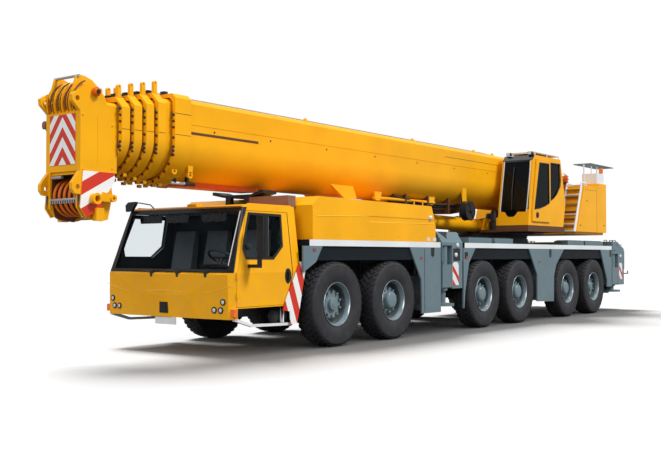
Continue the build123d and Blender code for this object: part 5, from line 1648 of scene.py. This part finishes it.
@dataclass
class UpperWorks:
    """Turntable, operator's cab, tail and winch."""

    half: float = 1.45
    slew_x: float = -8.2
    ring_teeth: int = 120
    ring_root: float = 0.822
    ring_tip: float = 0.835
    treads: int = 6
    rope_turns: int = 36
    rope_width: float = 0.80
    door_window: tuple[Pair, ...] = (
        (-7.40, 2.50), (-7.68, 3.59), (-8.21, 3.60), (-8.23, 2.68), (-8.02, 2.61), (-7.72, 2.54))
    side_window: tuple[Pair, ...] = (
        (-8.35, 2.73), (-8.35, 3.64), (-8.92, 3.65), (-8.96, 3.23), (-8.93, 3.10), (-8.74, 2.92),
        (-8.56, 2.81))

    def dress(self) -> None:
        """Finishes of the upper nodes."""
        dress("turntable_frame", BOOM_YELLOW, SHADE_BROWN, DARK_STEEL, choose=self._table_finish)
        dress(
            "tail_housing", BOOM_YELLOW, RAIL_WHITE, AMBER_LENS, CARRIER_GREY,
            choose=self._tail_finish)
        dress(
            "crane_cab", BOOM_YELLOW, CAB_TRIM, RAIL_WHITE, SEAT_GREY, BLACK_TRIM,
            choose=self._cab_finish)
        dress("crane_cab_glass", DARK_GLASS)
        dress("crane_cab_door", BOOM_YELLOW, DARK_GLASS, BLACK_TRIM, choose=self._door_finish)
        dress("winch_drum", WINCH_STEEL)

    def _table_finish(self, centre: Vector, normal: Vector) -> Finish:
        """Yellow cheeks, brown painted shade on the underside and under the operator's cab, and
        dark ring.

        Args:
            centre: Centre of the face.
            normal: Direction that it faces; not used.

        Returns:
            The face's finish.
        """
        x = centre.x - FRONT_AXLE.x
        if centre.z < 1.995:
            return DARK_STEEL
        if centre.y > 0.65 and x > -9.2 and centre.z < 2.16:
            return SHADE_BROWN
        return SHADE_BROWN if centre.z < 2.062 and x > -9.7 else BOOM_YELLOW

    def _tail_finish(self, centre: Vector, normal: Vector) -> Finish:
        """Yellow housings, white ladder and box, orange beacon, grey railing.

        Args:
            centre: Centre of the face.
            normal: Direction that it faces.

        Returns:
            The face's finish.
        """
        x, y, z = centre.x - FRONT_AXLE.x, centre.y, centre.z
        if z > 3.335:
            if z > 3.625 and math.hypot(x + 11.79, y - 1.34) < 0.08:
                return AMBER_LENS
            return CARRIER_GREY if z > 3.78 else RAIL_WHITE
        on_slope = x > -9.90 - 0.388 * (z - 2.06) + 0.005
        on_box = 3.19 < z < 3.32 and x > -10.63 and y < 1.43 and abs(normal.z) < 0.95
        return RAIL_WHITE if y > 0.9 and (on_slope or on_box) else BOOM_YELLOW

    def _cab_finish(self, centre: Vector, normal: Vector) -> Finish:
        """Yellow shell, grey inside, white guard and pale seat.

        Args:
            centre: Centre of the face.
            normal: Direction that it faces.

        Returns:
            The face's finish.
        """
        x, y, z = centre.x - FRONT_AXLE.x, centre.y, centre.z
        if z > 3.755:
            return RAIL_WHITE
        if z > 3.62 and x > -7.56 and normal.x > 0.3:
            return BLACK_TRIM
        if 0.74 < y < 1.39 and 2.2 < z < 3.70 and -9.1 < x < -7.25:
            return SEAT_GREY if -8.85 < x < -8.1 and 0.82 < y < 1.32 else CAB_TRIM
        return BOOM_YELLOW

    def _door_finish(self, centre: Vector, normal: Vector) -> Finish:
        """Yellow leaf, dark pane and black handle.

        Args:
            centre: Centre of the face.
            normal: Direction that it faces.

        Returns:
            The face's finish.
        """
        if centre.y > 1.4765:
            return BLACK_TRIM
        in_pane = abs(normal.y) > 0.5 and 1.455 < centre.y < 1.467
        return DARK_GLASS if in_pane else BOOM_YELLOW

    def cab_trim(self) -> None:
        """Window seals, door handle, wiper, rails and work lamps of the operator's cab."""
        shape = Shape("crane_door_trim")
        outline = [(ahead(x), z) for x, z in self.door_window]
        band(shape, outline, 0.022, lambda z: 1.4765, 0.005, BLACK_TRIM)
        shape.turn(
            [(0.068, 0), (0.068, 0.012), (0.04, 0.02), (0, 0.02)], at(-7.560, 1.476, 2.388),
            LEFTWARD, BLACK_PLASTIC, 20)
        shape.place("crane_cab_door", bevel=0.002)
        body = Shape("crane_cab_trim")
        band(
            body, [(ahead(x), z) for x, z in self.side_window], 0.022, lambda z: 1.4405, 0.005,
            BLACK_TRIM)
        body.tube([at(-7.185, 1.02, 2.50), at(-7.28, 1.0, 3.05)], 0.009, BLACK_PLASTIC, 8)
        body.tube([at(-7.24, 1.0, 2.85), at(-7.37, 1.0, 3.48)], 0.011, BLACK_PLASTIC, 8)
        for y in (0.735, 1.39):
            body.tube(
                [at(-7.20, y, 2.30), at(-7.20, y, 2.52), at(-7.425, y, 3.62)], 0.014, RAIL_WHITE, 8)
        for y in (0.80, 1.33):
            body.box(at(-7.56, y - 0.05, 3.76), at(-7.48, y + 0.05, 3.83), BLACK_PLASTIC)
            body.box(at(-7.478, y - 0.04, 3.765), at(-7.472, y + 0.04, 3.825), CLEAR_LENS)
        body.box(at(-8.85, 0.74, 3.80), at(-7.62, 1.39, 3.812), RAIL_WHITE)
        body.box(at(-9.0, 0.72, 2.160), at(-7.20, 1.437, 2.178), RAIL_WHITE)
        body.place("crane_cab", bevel=0.003)

    def tail_trim(self) -> None:
        """Seams and catches of the tail, with what its ladder box holds."""
        shape = Shape("tail_trim")
        y = self.half
        for ends, heights in (
            ((-11.205, -11.197), (2.08, 3.22)), ((-11.20, -10.42), (3.125, 3.131))
        ):
            shape.box(
                at(ends[0], y + 0.0003, heights[0]), at(ends[1], y + 0.0018, heights[1]),
                DARK_STEEL)
        for x, z in ((-10.12, 2.22), (-10.55, 2.85), (-11.70, 2.25)):
            shape.button(at(x, y, z), LEFTWARD, 0.018, 0.008, 0.012, DARK_STEEL)
        shape.mirrored()
        self._ladder_treads(shape)
        self._cans(shape)
        for rise, finish in ((3.30, BLACK_PLASTIC), (3.40, BOSS_ORANGE), (3.48, RAIL_WHITE)):
            path = ((-9.80, 1.0, rise), (-10.05, 1.04, rise + 0.05), (-10.45, 1.0, rise))
            shape.tube([at(x, y, z) for x, y, z in path], 0.016, finish, 8)
        for y in (1.02, 1.40):
            shape.tube([at(-9.90, y, 2.08), at(-10.33, y, 3.20)], 0.020, RAIL_WHITE, 10)
        shape.place("turntable", bevel=0.002)

    def _ladder_treads(self, shape: Shape) -> None:
        """Six treads up the slope of the tail."""
        for k in range(self.treads):
            share = (k + 0.5) / self.treads
            x, z = -9.93 - 0.41 * share, 2.10 + 1.10 * share
            shape.box(at(x - 0.02, 1.03, z), at(x + 0.10, 1.39, z + 0.02), BROWN_CASE)

    def _cans(self, shape: Shape) -> None:
        """Upright accumulators behind the cab, each held by a dark clamp band."""
        foot = 3.18
        for x, y, tall, finish in (
            (-9.85, 0.80, 3.62 - foot, BOSS_ORANGE), (-10.02, 0.92, 3.50 - foot, BOOM_YELLOW),
            (-10.20, 0.80, 3.58 - foot, RAIL_WHITE), (-10.38, 0.95, 3.52 - foot, BOSS_ORANGE),
        ):
            can = [(0.06, 0), (0.07, 0.03), (0.07, tall - 0.05), (0.045, tall - 0.02), (0, tall)]
            shape.turn(can, at(x, y, foot), UPWARD, finish, 16)
            shape.turn([(0.082, 0.10), (0.082, 0.14)], at(x, y, foot), UPWARD, DARK_STEEL, 16)

    def machinery(self) -> None:
        """Slew motors, toothed ring and hoses between the cheeks."""
        shape = Shape("slewing_gear")
        motor = [(0.13, 0), (0.13, 0.18), (0.10, 0.20), (0.10, 0.42), (0.07, 0.46), (0, 0.46)]
        for x, y in ((-7.55, 0.42), (-7.55, -0.42), (-8.9, -0.42)):
            shape.turn(motor, at(x, y, 2.06), UPWARD, DARK_STEEL, 20)
        ring = []
        for k in range(2 * self.ring_teeth):
            r = self.ring_tip if k % 2 else self.ring_root
            a = math.tau * k / (2 * self.ring_teeth)
            ring.append((ahead(self.slew_x) + r * math.cos(a), r * math.sin(a)))
        shape.prism(ring, "Z", 1.880, 1.965, DARK_STEEL)
        rng = random.Random(7)
        for k in range(7):
            y = -0.30 + 0.10 * k
            bent = y + rng.uniform(-0.03, 0.03)
            path = ((-9.3, y, 2.09), (-9.5, bent, 2.28), (-9.9, bent, 2.33), (-10.3, y, 2.20),
                    (-10.6, y, 2.09))
            shape.tube([at(x, y, z) for x, y, z in path], 0.016, BLACK_PLASTIC, 8)
        shape.place("turntable")

    def rope(self) -> None:
        """Rope wound on the hoist drum."""
        low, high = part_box("winch_drum")
        shape = Shape("drum_rope")
        lay = self.rope_width / self.rope_turns
        profile = []
        for k in range(self.rope_turns):
            y = lay * k - self.rope_width / 2
            profile += [(0.196, y), (0.206, y + lay / 2)]
        shape.turn(profile, tuple((low + high) / 2), LEFTWARD, DARK_STEEL, 40)
        shape.place("winch_drum", smooth=10)

    def build(self) -> None:
        """Dress the upper works and add their trim."""
        self.dress()
        self.cab_trim()
        self.tail_trim()
        self.machinery()
        self.rope()


@dataclass
class Boom:
    """Telescopic boom: seams, pads, bolts, reel and rope.

    Attributes:
        half: Half width of the base section.
        top: Z of the base section's top.
        mouth: X of the base section's mouth, from the front axle.
        first: From that mouth to the first telescope's.
        pitch: From one telescope's mouth to the next.
        length: Length of a telescope's collar along the boom.
        step: What each section loses in half width and in top.
        thick: Thickness of a telescope's collar.
        axis_z: Z of the middle of the boom's round belly.
        base_thick: Thickness of the base section's collar.
        base_length: Length of the base section's collar along the boom.
        bolt_heights: Z of the bolts up a collar's side.
        upper_sheave: X from the front axle, and Z, of the upper sheaves' pin.
        lower_sheave: The same for the lower sheaves' pin.
        guard: Radius of the rope guards round the upper sheaves.
        luff_foot: The same for the pin under the luffing barrel.
        luff_eye: The same for the pin of the luffing rod.
        reel_hub: The same for the cable reel.
    """

    half: float = 0.56
    top: float = 3.77
    mouth: float = 2.75
    first: float = 0.30
    pitch: float = 0.185
    length: float = 0.14
    step: float = 0.04
    thick: float = 0.062
    axis_z: float = 3.12
    base_thick: float = 0.045
    base_length: float = 0.32
    bolt_heights: tuple[float, ...] = (3.50, 3.41, 3.32, 3.17, 3.04, 2.98, 2.92)
    upper_sheave: Pair = (3.975, 3.53)
    lower_sheave: Pair = (3.95, 2.265)
    guard: float = 0.318
    luff_foot: Pair = (-7.600, 2.165)
    luff_eye: Pair = (-3.420, 2.245)
    reel_hub: Pair = (-5.9, 2.44)

    def dress(self) -> None:
        """Finishes of the boom's nodes."""
        dress("boom_base", BOOM_YELLOW, BELLY_SHADE_ORANGE, BLACK_PLASTIC, choose=self._base_finish)
        for number in range(1, 5):
            dress(f"telescope_{number}", BOOM_YELLOW)
        dress(
            "telescope_5", BOOM_YELLOW, PALE_STEEL, BOSS_ORANGE, PLATE_STRIPES, HEAD_STRIPES,
            SHADE_BROWN, choose=self._head_finish)
        dress("luff_cylinder", BOOM_YELLOW)
        dress("luff_rod", ROD_STEEL)

    def _base_finish(self, centre: Vector, normal: Vector) -> Finish:
        """Yellow tube, keel in orange painted shade, and black reel.

        Args:
            centre: Centre of the face.
            normal: Direction that it faces; not used.

        Returns:
            The face's finish.
        """
        x = centre.x - FRONT_AXLE.x
        if 0.44 < x < 2.41 and centre.z < 2.605 and abs(centre.y) < 0.18:
            return BELLY_SHADE_ORANGE
        if math.hypot(x - self.reel_hub[0], centre.z - self.reel_hub[1]) < 0.22 and centre.y > 0.44:
            return BLACK_PLASTIC
        return BOOM_YELLOW

    def _head_finish(self, centre: Vector, normal: Vector) -> Finish:
        """Yellow head with its striped plates, brown painted shade on the lower sheaves and the
        flat faces under them, steel bars and orange bosses.

        Args:
            centre: Centre of the face.
            normal: Direction that it faces.

        Returns:
            The face's finish.
        """
        x, y, z = centre.x - FRONT_AXLE.x, abs(centre.y), centre.z
        if x > 4.236 and y < 0.276 and 2.68 < z < 3.38 and normal.x > 0.9:
            return HEAD_STRIPES
        on_sheaves = math.hypot(x - self.lower_sheave[0], z - self.lower_sheave[1]) < 0.262
        under_plate = z < 2.64 and x < 4.1 and abs(normal.z) > 0.5
        if y < 0.30 and (on_sheaves or under_plate):
            return SHADE_BROWN
        if 0.384 < y < 0.3855 and z < 2.61 and abs(normal.y) > 0.9:
            return PLATE_STRIPES
        if y > 0.371 and math.hypot(x - 4.0, z - 3.675) < 0.064:
            return BOSS_ORANGE
        if math.hypot(x - 4.218, z - 2.225) < 0.02 or math.hypot(x - 4.18, z - 3.885) < 0.022:
            return PALE_STEEL
        return BOOM_YELLOW

    def section(self, number: int) -> Pair:
        """Half width and top of a section."""
        return self.half - number * self.step, self.top - number * self.step

    def body(self, number: int) -> str:
        """Body that carries a section."""
        return "boom_base" if number == 0 else f"telescope_{number}"

    def mouth_x(self, number: int) -> float:
        """X of a section's mouth from the front axle."""
        return self.mouth if number == 0 else self.mouth + self.first + (number - 1) * self.pitch

    def collars(self) -> None:
        """Bolts, clamps, pads, seams and feet of every collar."""
        for number in range(5):
            half, top = self.section(number)
            thick = self.thick if number else self.base_thick
            face = ahead(self.mouth_x(number))
            shape = Shape(f"collar_{number}_bolts")
            radius = half + thick / 2 - 0.003
            self._bolts(shape, face, radius)
            for z in (3.50, 2.99):
                shape.box(
                    (face - 0.03, radius - 0.045, z - 0.05),
                    (face + 0.012, radius - 0.020, z + 0.05), BROWN_CASE)
            for back, front, share, width, tall in (  # pads on the roof of the collar
                (0.10, 0.03, 0.45, 0.09, 0.055), (0.11, 0.02, 0.10, 0.10, 0.04),
            ):
                y = half * share
                shape.box(
                    (face - back, y, top + thick), (face - front, y + width, top + thick + tall),
                    BLACK_PLASTIC)
            seam = half + thick
            start = face + 0.002 - (self.length if number else self.base_length)
            for low, high in ((3.213, 3.219),) if number else ((3.213, 3.219), (3.52, 3.527)):
                shape.box(
                    (start, seam + 0.0003, low), (face - 0.002, seam + 0.002, high), BLACK_TRIM)
            self._feet(shape, face, self.axis_z - half - thick)
            shape.mirrored()
            shape.place(self.body(number), bevel=0.002)

    def _bolts(self, shape: Shape, face: float, radius: float) -> None:
        """Bolts up the side of a collar and round its belly, with clamps round the belly.

        Args:
            shape: Piece that takes them.
            face: X of the collar's face.
            radius: Distance of the bolts from the boom's middle.
        """
        # Bolt heads are dark brown as painted shade on the collars.
        bolt = [(0.020, 0), (0.020, 0.012), (0.014, 0.022), (0, 0.023)]
        for z in self.bolt_heights:
            shape.turn(bolt, (face, radius, z), FORWARD, DEEP_SHADE_BROWN, 8)
        for k in range(1, 7):
            a = math.radians(-14 * k - 6)
            spot = (face, radius * math.cos(a), self.axis_z + radius * math.sin(a))
            shape.turn(bolt, spot, FORWARD, DEEP_SHADE_BROWN, 8)
            if k > 4:
                continue
            low, high = radius - 0.012, radius + 0.030
            clamp = [(low, -0.045), (high, -0.030), (high, 0.030), (low, 0.045)]
            corners = [
                (r * math.cos(a + turn), self.axis_z + r * math.sin(a + turn)) for r, turn in clamp]
            # The clamps on the belly are orange as painted shade.
            shape.prism(corners, "X", face + 0.001, face + 0.009, BELLY_SHADE_ORANGE)

    def _feet(self, shape: Shape, face: float, foot: float) -> None:
        """Two bolted lugs under a collar, behind its face."""
        for y in (0.06, 0.20):
            shape.box(
                (face - 0.085, y, foot - 0.035), (face - 0.025, y + 0.045, foot + 0.010),
                BOOM_YELLOW)
            shape.button(
                (face - 0.025, y + 0.022, foot - 0.014), FORWARD, 0.014, 0.010, 0.012, BLACK_TRIM, 8
            )

    def eyes(self) -> None:
        """Lifting eyes, locking cylinders and lines under the mouths."""
        shape = Shape("base_mouth_fittings")
        for x, z in ((2.62, 2.70), (2.30, 2.66)):
            shape.eye(at(x, 0.44, z), 0.05, 0.024, (-0.02, 0.02), BOOM_YELLOW)
            shape.prism(
                [
                    (ahead(x) - 0.04, z + 0.03), (ahead(x) + 0.04, z + 0.03),
                    (ahead(x) + 0.06, z + 0.16), (ahead(x) - 0.06, z + 0.16)],
                "Y", 0.42, 0.46, BOOM_YELLOW)
        shape.rod(at(2.53, 0.30, 2.545), at(2.27, 0.30, 2.545), 0.022, RAIL_WHITE, 14)
        shape.rod(at(2.27, 0.30, 2.545), at(2.07, 0.30, 2.545), 0.034, BLACK_PLASTIC, 14)
        shape.box(at(2.20, 0.27, 2.55), at(2.24, 0.33, 2.66), BLACK_PLASTIC)
        shape.box(at(2.46, 0.27, 2.55), at(2.50, 0.33, 2.66), BLACK_PLASTIC)
        shape.mirrored()
        shape.place("boom_base", bevel=0.002)
        for number, x in ((2, 3.17), (4, 3.53)):
            half, _ = self.section(number)
            eye = Shape(f"mouth_eye_{number}")
            z = self.axis_z - half - self.thick - 0.03
            eye.eye(at(x, 0.05, z), 0.048, 0.026, (-0.015, 0.015), BOOM_YELLOW)
            eye.place(self.body(number))

    def seams(self) -> None:
        """Weld lines, the dark groove, plugs and the lines along the base section."""
        shape = Shape("boom_seams")
        y = self.half
        shape.box(at(-10.6, y, 3.396), at(2.42, y + 0.005, 3.408), BOOM_YELLOW)
        shape.box(at(0.90, y + 0.0003, 3.252), at(2.40, y + 0.0025, 3.292), SHADE_BROWN)
        shape.box(at(-7.5, y + 0.0003, 3.548), at(-5.0, y + 0.002, 3.556), SHADE_BROWN)
        for x in (1.9, 0.6, -0.9, -2.4, -3.9, -5.4, -6.9):
            shape.button(at(x, y, 3.33), LEFTWARD, 0.016, 0.004, 0.006, BLACK_TRIM)
        shape.mirrored()
        shape.place("boom_base", bevel=0.001)

    def reel(self) -> None:
        """Cable reel on the boom's side with its wound cable."""
        shape = Shape("cable_reel")
        centre = at(self.reel_hub[0], 0.53, self.reel_hub[1])
        shape.turn(
            [
                (0.215, 0.0), (0.215, 0.012), (0.13, 0.016), (0.13, 0.134), (0.215, 0.138),
                (0.215, 0.152), (0.05, 0.155), (0.045, 0.19), (0, 0.19)],
            centre, LEFTWARD, BLACK_PLASTIC, 36)
        shape.turn([(0.19, 0.02), (0.19, 0.13)], centre, LEFTWARD, DARK_STEEL, 36)
        for k in range(6):
            a = math.tau * k / 6
            shape.rod(
                (centre[0] + 0.05 * math.cos(a), 0.688, centre[2] + 0.05 * math.sin(a)),
                (centre[0] + 0.20 * math.cos(a), 0.688, centre[2] + 0.20 * math.sin(a)), 0.009,
                DARK_STEEL, 6)
        shape.place("boom_base")

    def hoses(self) -> None:
        """Hoses and pipes under the left edge of the base section, behind the engine cover."""
        shape = Shape("boom_hoses")
        # The brown hoses and the brown brackets are coloured as painted shade under the boom.
        for k, finish in enumerate((
            DEEP_SHADE_BROWN, BLACK_PLASTIC, SHADE_BROWN, DEEP_SHADE_BROWN, SHADE_BROWN
        )):
            drop, y = 0.045 * k, 0.36 - 0.03 * k
            shape.tube(
                [
                    at(x, y, z - drop)
                    for x, z in (
                        (-3.30, 2.66), (-3.70, 2.60), (-4.30, 2.555), (-5.10, 2.55), (-5.80, 2.58),
                        (-6.30, 2.64))],
                0.026, finish, 8)
        for x in (-3.75, -4.6, -5.45):
            shape.box(at(x - 0.025, 0.20, 2.38), at(x + 0.025, 0.40, 2.70), SHADE_BROWN)
        shape.place("boom_base", bevel=0.002)

    def luff_gland(self) -> None:
        """Gland on the luffing barrel and tail on its rod, which still meet at full stroke."""
        foot, eye = (Vector(at(x, 0, z)) for x, z in (self.luff_foot, self.luff_eye))
        along = (eye - foot).normalized()
        gland = Shape("luff_gland")
        gland.turn(
            [(0.106, 3.855), (0.145, 3.855), (0.145, 4.015), (0.138, 4.030), (0.106, 4.030)],
            tuple(foot), tuple(along), BOOM_YELLOW, 32, closed=True)
        gland.place("luff_cylinder", smooth=30)
        tail = Shape("luff_rod_tail")
        tail.turn(
            [(0, 0.150), (0.098, 0.150), (0.1045, 0.157), (0.1045, 0.262), (0, 0.262)], tuple(foot),
            tuple(along), ROD_STEEL, 32)
        tail.place("luff_rod", smooth=30)

    def hoist_line(self) -> None:
        """Hoist rope that lies along the top of the base section."""
        shape = Shape("hoist_rope")
        shape.tube(
            [at(x, 0.05, z) for x, z in ((-10.3, 3.80), (-7.6, 3.885), (2.60, 3.885))], 0.011,
            PALE_STEEL, 8)
        shape.place("boom_base")

    def head(self) -> None:
        """Sheave rims, rope guards, hub caps, pins and small lines on the boom head."""
        shape = Shape("head_fittings")
        # The lower sheaves' rims take orange as painted shade; the upper ones stay yellow.
        for (pin_x, pin_z), spread, groove, edge, wide, finish in (
            (self.upper_sheave, 0.08, 0.270, 0.284, 0.023, BOOM_YELLOW),
            (self.lower_sheave, 0.11, 0.250, 0.266, 0.027, BOSS_ORANGE),
        ):
            lip = groove + 0.004
            rim = [
                (lip, -wide), (edge, 0.002 - wide), (groove, 0.0), (edge, wide - 0.002),
                (lip, wide)]
            for k in range(-2, 3):
                shape.turn(rim, at(pin_x, spread * k, pin_z), LEFTWARD, finish, 48)
        for k in range(12):
            y = -0.275 + 0.05 * k
            shape.box(at(4.205, y - 0.008, 2.17), at(4.232, y + 0.008, 2.222), PALE_STEEL)
        pin_x, pin_z = self.upper_sheave
        for k in range(8):
            y = -0.28 + 0.08 * k
            path = [
                at(pin_x + self.guard * math.cos(t), y, pin_z + self.guard * math.sin(t))
                for t in (math.radians(68 - 11 * i) for i in range(9))]
            shape.tube(path, 0.011, SHADE_BROWN if k % 2 else BOOM_YELLOW, 8)
        shape.rod(at(4.20, -0.37, 2.53), at(4.20, -0.06, 2.53), 0.024, PALE_STEEL, 16)
        for y in (-0.30, 0.30):
            shape.turn(
                [(0.055, -0.006), (0.055, 0.006), (0.036, 0.008), (0.036, -0.008)],
                at(4.282, y, 3.56), LEFTWARD, BOOM_YELLOW, 20, closed=True)
        for side in Side:
            y = side.value
            shape.turn(
                [(0.052, 0), (0.052, 0.010), (0.040, 0.016), (0, 0.016)], at(4.0, y * 0.425, 3.675),
                (0, y, 0), BOSS_ORANGE, 20)
            shape.button(at(4.0, y * 0.445, 3.675), (0, y, 0), 0.03, 0.014, 0.016, DARK_STEEL, 12)
            shape.turn(
                [(0.078, 0), (0.078, 0.012), (0.044, 0.012), (0.044, 0)], at(4.02, y * 0.46, 2.23),
                (0, y, 0), BOOM_YELLOW, 24, closed=True)
            for x, z in ((4.20, 3.35), (3.70, 2.66), (4.19, 2.62), (3.70, 3.25)):
                shape.hexagon(at(x, y * 0.37, z), (0, y, 0), 0.014, 0.012, BOOM_YELLOW)
            shape.box(
                at(3.95, y * 0.372 - 0.003, 2.70), at(3.956, y * 0.372 + 0.003, 3.35), BOOM_YELLOW)
        shape.tube(
            [at(4.05, -0.40, 3.22), at(4.05, -0.62, 3.22), at(4.05, -0.66, 3.30)], 0.010,
            DARK_STEEL, 8)
        shape.turn(
            [(0.03, -0.05), (0.04, -0.02), (0.04, 0.03), (0.02, 0.06), (0, 0.06)],
            at(4.05, -0.66, 3.30), UPWARD, BROWN_CASE, 14)
        shape.place("telescope_5", bevel=0.002)

    def build(self) -> None:
        """Dress the boom and add its fittings."""
        self.dress()
        self.collars()
        self.eyes()
        self.seams()
        self.reel()
        self.hoses()
        self.luff_gland()
        self.hoist_line()
        self.head()


def main() -> None:
    """Build the crane's looks in order."""
    logging.basicConfig(level=logging.INFO, format="%(name)s: %(message)s")
    studio = Studio()
    studio.camera()
    dress_all()
    log.info("wheels: %d", WheelSet().build())
    for assembly in (CarrierBody(), DriverCab(), EngineCover(), UpperWorks(), Boom()):
        assembly.build()
        log.info("built %s", type(assembly).__name__)
    studio.build()


if __name__ == "__main__":
    main()
